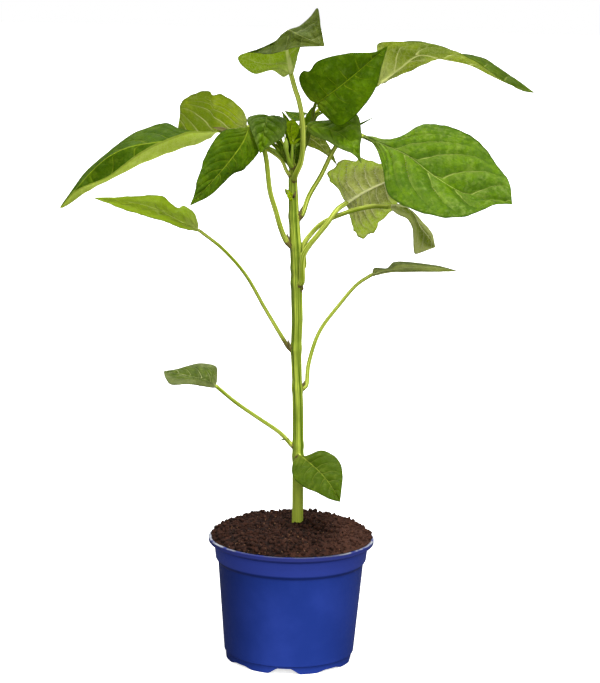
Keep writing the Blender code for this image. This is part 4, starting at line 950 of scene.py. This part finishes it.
def makeBud(bud):
    # three overlapping scales, the middle one longest
    height, turn = bud["node"]
    outward, up = aroundAxis(turn), Vector((0, 0, 1))
    root = stemCenter(height) + outward * (stemRadius(height) - 1.5)
    long, thick = bud["length"], bud["radius"]
    whole = bmesh.new()
    for layerName in leafMarks:
        whole.verts.layers.float.new(layerName)
    for spread, share in budShape["scales"]:
        ahead = (outward * bud["lean"] + up + outward.cross(up) * spread).normalized() * long * share
        foot = root + outward * (1.0 + thick * 0.6)
        path = [root, foot + ahead * 0.15, foot + ahead * 0.55, foot + ahead]
        widths = [thick * width for width in budShape["widths"]]
        rings, marks = shootRings({**budShape, "path": path, "widths": widths, "face": outward})
        marks = [[(*mark[:6], budShape["bark"], mark[7]) for mark in row] for row in marks]
        part = tubeMesh(rings, marks, leafMarks)
        mesh = bpy.data.meshes.new("scale")
        part.to_mesh(mesh)
        part.free()
        whole.from_mesh(mesh)
        bpy.data.meshes.remove(mesh)
    skin, slot = ("shoot", "bract") if bud.get("young") else ("bud", "axil_bud")
    finishPiece(skinName(bud["name"]), whole, [stalkSkins[skin]], slot, leafShape["sharp"], [bud["name"]])


makeStem()
for bud in buds:
    makeBud(bud)
for shoot in shoots:
    makeShoot(shoot)
print("stem, buds and shoots ready")

# ---- pot ----

# profile: radius and height along the wall's section, from under the floor out, up and back inside
pot = dict(height=100.4, steps=192, weld=0.001, rounding=0.0003, roundFrom=25, sharp=30,
           notches=8, notchTurn=-93.75, notchHeights=(4.6, 1.8), notchHalf=(6.3, 14.3),
           profile=[(0, 4.9), (50.5, 4.9), (50.5, 0), (51.6, 0), (51.8, 6.0),       # floor and foot ring
                    (52.9, 6.7), (59.1, 79.6), (61.3, 83.3), (62.6, 94.9),          # wall, shoulder, collar
                    (63.8, 95.8), (66.6, 96.3), (67.2, 97.0), (67.2, 99.7),         # lip
                    (66.5, 100.4), (63.8, 100.0), (63.0, 98.8),
                    (61.5, 94.3), (60.2, 83.0), (58.0, 79.0), (51.8, 6.2), (0, 6.2)])


def makePot():
    bm = bmesh.new()
    verts = [bm.verts.new((radius, 0, z)) for radius, z in pot["profile"]]
    edges = [bm.edges.new(pair) for pair in zip(verts, verts[1:])]
    bmesh.ops.spin(bm, geom=verts + edges, axis=(0, 0, 1), cent=(0, 0, 0), angle=2 * math.pi,
                   steps=pot["steps"], use_merge=True)
    bmesh.ops.remove_doubles(bm, verts=bm.verts, dist=pot["weld"])
    # notches in the foot ring, high and low by turns, with sloping ends
    pitch, (top, bottom) = 360 / pot["notches"], pot["notchHalf"]
    for vert in bm.verts:
        if vert.co.z < 0.01:
            turned = math.degrees(math.atan2(vert.co.y, vert.co.x)) - pot["notchTurn"] + pitch / 2
            off = abs(turned % pitch - pitch / 2)
            high = pot["notchHeights"][int(turned // pitch) % 2]
            vert.co.z = high * min(max((bottom - off) / (bottom - top), 0.0), 1.0)
    piece = finishPiece("PotShell", bm, [potPlastic], "pot", pot["sharp"], ["pot"])
    rounding = piece.modifiers.new("rounding", "BEVEL")
    rounding.width, rounding.segments, rounding.limit_method = pot["rounding"], 2, "ANGLE"
    rounding.angle_limit = math.radians(pot["roundFrom"])


# sides: how far across the painted shade starts and is full, and its share; and for each line of painted
# shade below the lip and the collar: where it starts, is darkest and ends going up
potFinish = dict(blue=(0.023, 0.054, 0.335), deep=(0.016, 0.043, 0.28), shaded=(0.008, 0.024, 0.17),
                 sides=[(-0.014, -0.054, 0.85), (0.020, 0.054, 0.4)], band=(0.04, 0.068, 0.4),
                 lip=(0.024, 0.034, 0.19), film=(0.42, 0.44, 0.46), dull=(0.085, 0.085, 0.1),
                 dark=(0.004, 0.008, 0.06), shadeLines=[(0.0792, 0.0812, 0.0836), (0.0935, 0.0955, 0.0968)],
                 shine=0.06)


def makePotMaterial():
    look = potFinish
    material, tree, shader = newMaterial("potPlastic", look["shine"])
    times, plus, step, blend, grain = toolsFor(tree)
    place = addNode(tree, "ShaderNodeSeparateXYZ", {0: objectCoords(tree)}).outputs
    across, height = place["X"], place["Z"]
    cloud = grain(25, 4)
    color = blend(step(cloud, 0.35, 0.65), look["blue"], look["deep"])
    # painted shade on both sides, painted light round the collar and painted shade along the lip
    for start, full, share in look["sides"]:
        color = blend(step(across, start, full, 0.0, share), color, look["shaded"])
    color = blend(times(step(height, 0.0822, 0.0834), 0.8), color, look["band"])
    color = blend(step(height, 0.0963, 0.0968), color, look["lip"])
    # painted shade in the corners under the lip and under the collar
    for low, dark, clear in look["shadeLines"]:
        line = times(step(height, low, dark), step(height, clear, dark))
        color = blend(times(line, 0.6), color, look["dark"])
    # film of lime and rubbed plastic along the lip's top: pale at both ends, dull in front
    film = times(step(plus(height, times(cloud, 0.002)), 0.1004, 0.1012), step(grain(110, 4), 0.3, 0.6))
    ends = step(calc(tree, "ABSOLUTE", across), 0.030, 0.058)
    color = blend(times(film, 0.85), color, blend(ends, look["dull"], look["film"]))
    coat(tree, shader, color, step(grain(300, 3), 0.3, 0.7, 0.44, 0.54),
         bumpFrom(tree, grain(700, 3), 0.08, 0.0005))
    return material


potPlastic = makePotMaterial()
makePot()
print("pot ready")

# ---- compost ----

# under: radius and height of the rings down the pot's inner side; slopes: how much of the heap's rise is
# lost evenly and how much near the wall; lumps: height and how close together
soil = dict(edge=65.2, seat=0.3, crown=112.8, foot=4.6, steps=200, rows=70, slopes=(0.38, 0.62), wobble=0.8,
            under=[(56.5, 78.0), (61.0, 95.5), (62.6, 100.2)], lumps=[(1.3, 0.11), (1.1, 0.33), (0.7, 0.9)],
            crumbs=2600, crumbSize=(0.5, 2.3), crumbRough=0.18, bare=5.5, sharp=80)
soilFinish = dict(dark=(0.01, 0.0045, 0.003), red=(0.05, 0.019, 0.011), speck=(0.14, 0.07, 0.035),
                  sideLight=(0.1, 0.042, 0.026), shine=0.15, rough=0.95)


def soilHeight(x, y):
    # highest at the stem's foot, and steepest at the pot's wall
    edge, low = soil["edge"], pot["height"] + soil["seat"]
    share = min(math.hypot(x - soil["foot"] * (1 - math.hypot(x, y) / edge), y) / edge, 1.0)
    even, late = soil["slopes"]
    rise = low + (soil["crown"] - low) * (1 - even * share - late * share ** 8)
    for size, pace in soil["lumps"]:
        rise += size * (1 - share ** 6) * noise.noise(Vector((x, y, 40)) * pace)
    return rise


def makeSoilMaterial():
    look = soilFinish
    material, tree, shader = newMaterial("compostCrumb", look["shine"])
    times, _, step, blend, grain = toolsFor(tree)
    coords = objectCoords(tree)
    color = blend(step(grain(260, 4), 0.35, 0.68), look["dark"], look["red"])
    # a few pale specks, and painted light on the right side
    cells = addNode(tree, "ShaderNodeTexVoronoi", {"Vector": coords, "Scale": 900.0})
    chance = addNode(tree, "ShaderNodeSeparateColor", {0: cells.outputs["Color"]}).outputs["Red"]
    color = blend(step(chance, 0.980, 0.992), color, look["speck"])
    across = addNode(tree, "ShaderNodeSeparateXYZ", {0: coords}).outputs["X"]
    color = blend(step(across, 0.018, 0.048, 0.0, 0.40), color, look["sideLight"])
    color = blend(times(attribute(tree, "crumbShade"), 0.5), color, look["red"])
    coat(tree, shader, color, look["rough"], bumpFrom(tree, grain(1100, 4, 0.7), 0.9, 0.0012))
    return material


def makeSoil():
    turns = [360 * i / soil["steps"] for i in range(soil["steps"])]
    rings = [[aroundAxis(turn) * radius + Vector((0, 0, z)) for turn in turns] for radius, z in soil["under"]]
    for row in range(soil["rows"]):
        radius = soil["edge"] * (1 - row / soil["rows"]) + 0.2
        ring = []
        for turn in turns:
            place = aroundAxis(turn) * radius
            if row < 3:        # uneven along the wall
                wobble = noise.noise(aroundAxis(turn) * 6 + Vector((0, 0, row * 0.3)))
                place *= 1 + soil["wobble"] * wobble / radius
            ring.append(Vector((place.x, place.y, soilHeight(place.x, place.y))))
        rings.append(ring)
    finishPiece("SoilHeap", tubeMesh(rings), [compost], "compost", soil["sharp"], ["soil"])


def makeCrumbs():
    bm = bmesh.new()
    shadeLayer = bm.verts.layers.float.new("crumbShade")
    small, large = soil["crumbSize"]
    for _ in range(soil["crumbs"]):
        radius = soil["edge"] * math.sqrt(random.random()) * 0.99
        turn = random.uniform(0, 2 * math.pi)
        x, y = radius * math.cos(turn), radius * math.sin(turn)
        if math.hypot(x - soil["foot"], y) < soil["bare"]:
            continue
        size = small + (large - small) * random.random() ** 3
        place = Matrix.Translation((x, y, soilHeight(x, y) + size * 0.35))
        place @= Matrix.Rotation(random.uniform(0, 6.3), 4,
                                 Vector((random.uniform(-1, 1), random.uniform(-1, 1), 0.3)).normalized())
        place @= Matrix.Diagonal((size * random.uniform(0.7, 1.5), size, size * random.uniform(0.6, 1.0), 1))
        made = bmesh.ops.create_icosphere(bm, subdivisions=1, radius=1.0, matrix=place)
        shade = random.random() ** 2
        for vert in made["verts"]:
            vert[shadeLayer] = shade
            vert.co += Vector([random.uniform(-1, 1) for _ in range(3)]) * size * soil["crumbRough"]
    finishPiece("SoilCrumbs", bm, [compost], "compost", soil["sharp"])


compost = makeSoilMaterial()
makeSoil()
makeCrumbs()
print("compost ready")

# ---- floor, light and camera ----

# sky: light from all round, from the right, from above and from the front
# suns: name, tilt forward, turn to the right, power and spread
studio = dict(paper=(0.96, 0.96, 0.96), fleck=(0.92, 0.92, 0.92), reach=60, glow=0.7, bounce=0.18, rough=0.9,
              sky=(0.07, 0.06, 0.28, 0.58), frontPower=1.6,
              suns=[("key", 24, 20, 3.3, 26), ("front", 64, 14, 1.2, 40), ("back", -35, 15, 1.4, 40)],
              camera=(0.0035, -1.650, 0.537), pitch=9.5, roll=1.3, focal=73.4)


def makeFloor():
    material, tree, shader = newMaterial("floorPaper")
    color = mixColor(tree, noiseValue(tree, objectCoords(tree), 3, 2), studio["paper"], studio["fleck"])
    # white to the eye, but it throws only part of its light back up
    sight = addNode(tree, "ShaderNodeLightPath").outputs["Is Camera Ray"]
    dim = mixColor(tree, 1.0 - studio["bounce"], color, (0, 0, 0))
    coat(tree, shader, mixColor(tree, sight, dim, color), studio["rough"])
    # lit from below like a light table, for the eye only, so that its shadows stay faint
    plug(tree, (1, 1, 1), shader.inputs["Emission Color"])
    plug(tree, calc(tree, "MULTIPLY", sight, studio["glow"]), shader.inputs["Emission Strength"])
    bm = bmesh.new()
    bmesh.ops.create_grid(bm, x_segments=2, y_segments=2, size=studio["reach"])
    mesh = bpy.data.meshes.new("floor")
    bm.to_mesh(mesh)
    bm.free()
    mesh.materials.append(material)
    addObject("floor", mesh)


def makeSky():
    world = bpy.data.worlds.new("studio")
    bpy.context.scene.world = world
    world.use_nodes = True
    tree = world.node_tree
    ahead = addNode(tree, "ShaderNodeTexCoord").outputs["Generated"]
    way = addNode(tree, "ShaderNodeSeparateXYZ", {0: ahead}).outputs
    even, right, above, front = studio["sky"]
    light = calc(tree, "MULTIPLY_ADD", way["X"], right, even)
    light = calc(tree, "ADD", light, calc(tree, "MULTIPLY", calc(tree, "MAXIMUM", way["Z"], 0.0), above))
    forward = calc(tree, "MAXIMUM", calc(tree, "MULTIPLY", way["Y"], -1.0), 0.0)
    forward = calc(tree, "POWER", forward, studio["frontPower"])
    light = calc(tree, "ADD", light, calc(tree, "MULTIPLY", forward, front))
    # white to the camera, softer as light
    sight = addNode(tree, "ShaderNodeLightPath").outputs["Is Camera Ray"]
    back = tree.nodes["Background"].inputs
    plug(tree, (1, 1, 1), back["Color"])
    plug(tree, ramp(tree, sight, 0, 1, light, 1.0), back["Strength"])


def makeLightsAndCamera():
    for name, tilt, turn, power, spread in studio["suns"]:
        lamp = bpy.data.lights.new(name, "SUN")
        lamp.energy, lamp.angle = power, math.radians(spread)
        # tipped forward from straight above, then turned round the plant
        tipped = Matrix.Rotation(math.radians(tilt), 4, "X")
        addObject(name, lamp).matrix_world = Matrix.Rotation(math.radians(turn), 4, "Z") @ tipped
    lens = bpy.data.cameras.new("camera")
    lens.sensor_fit, lens.sensor_height, lens.lens = "VERTICAL", 24, studio["focal"]
    lens.clip_start, lens.clip_end = 0.05, 30
    turned = (Matrix.Rotation(math.radians(90 - studio["pitch"]), 4, "X")
              @ Matrix.Rotation(math.radians(studio["roll"]), 4, "Z"))
    camera = addObject("camera", lens)
    camera.matrix_world = Matrix.Translation(studio["camera"]) @ turned
    bpy.context.scene.camera = camera
    bpy.context.scene.view_settings.view_transform = "Standard"


makeFloor()
makeSky()
makeLightsAndCamera()
print("studio ready")
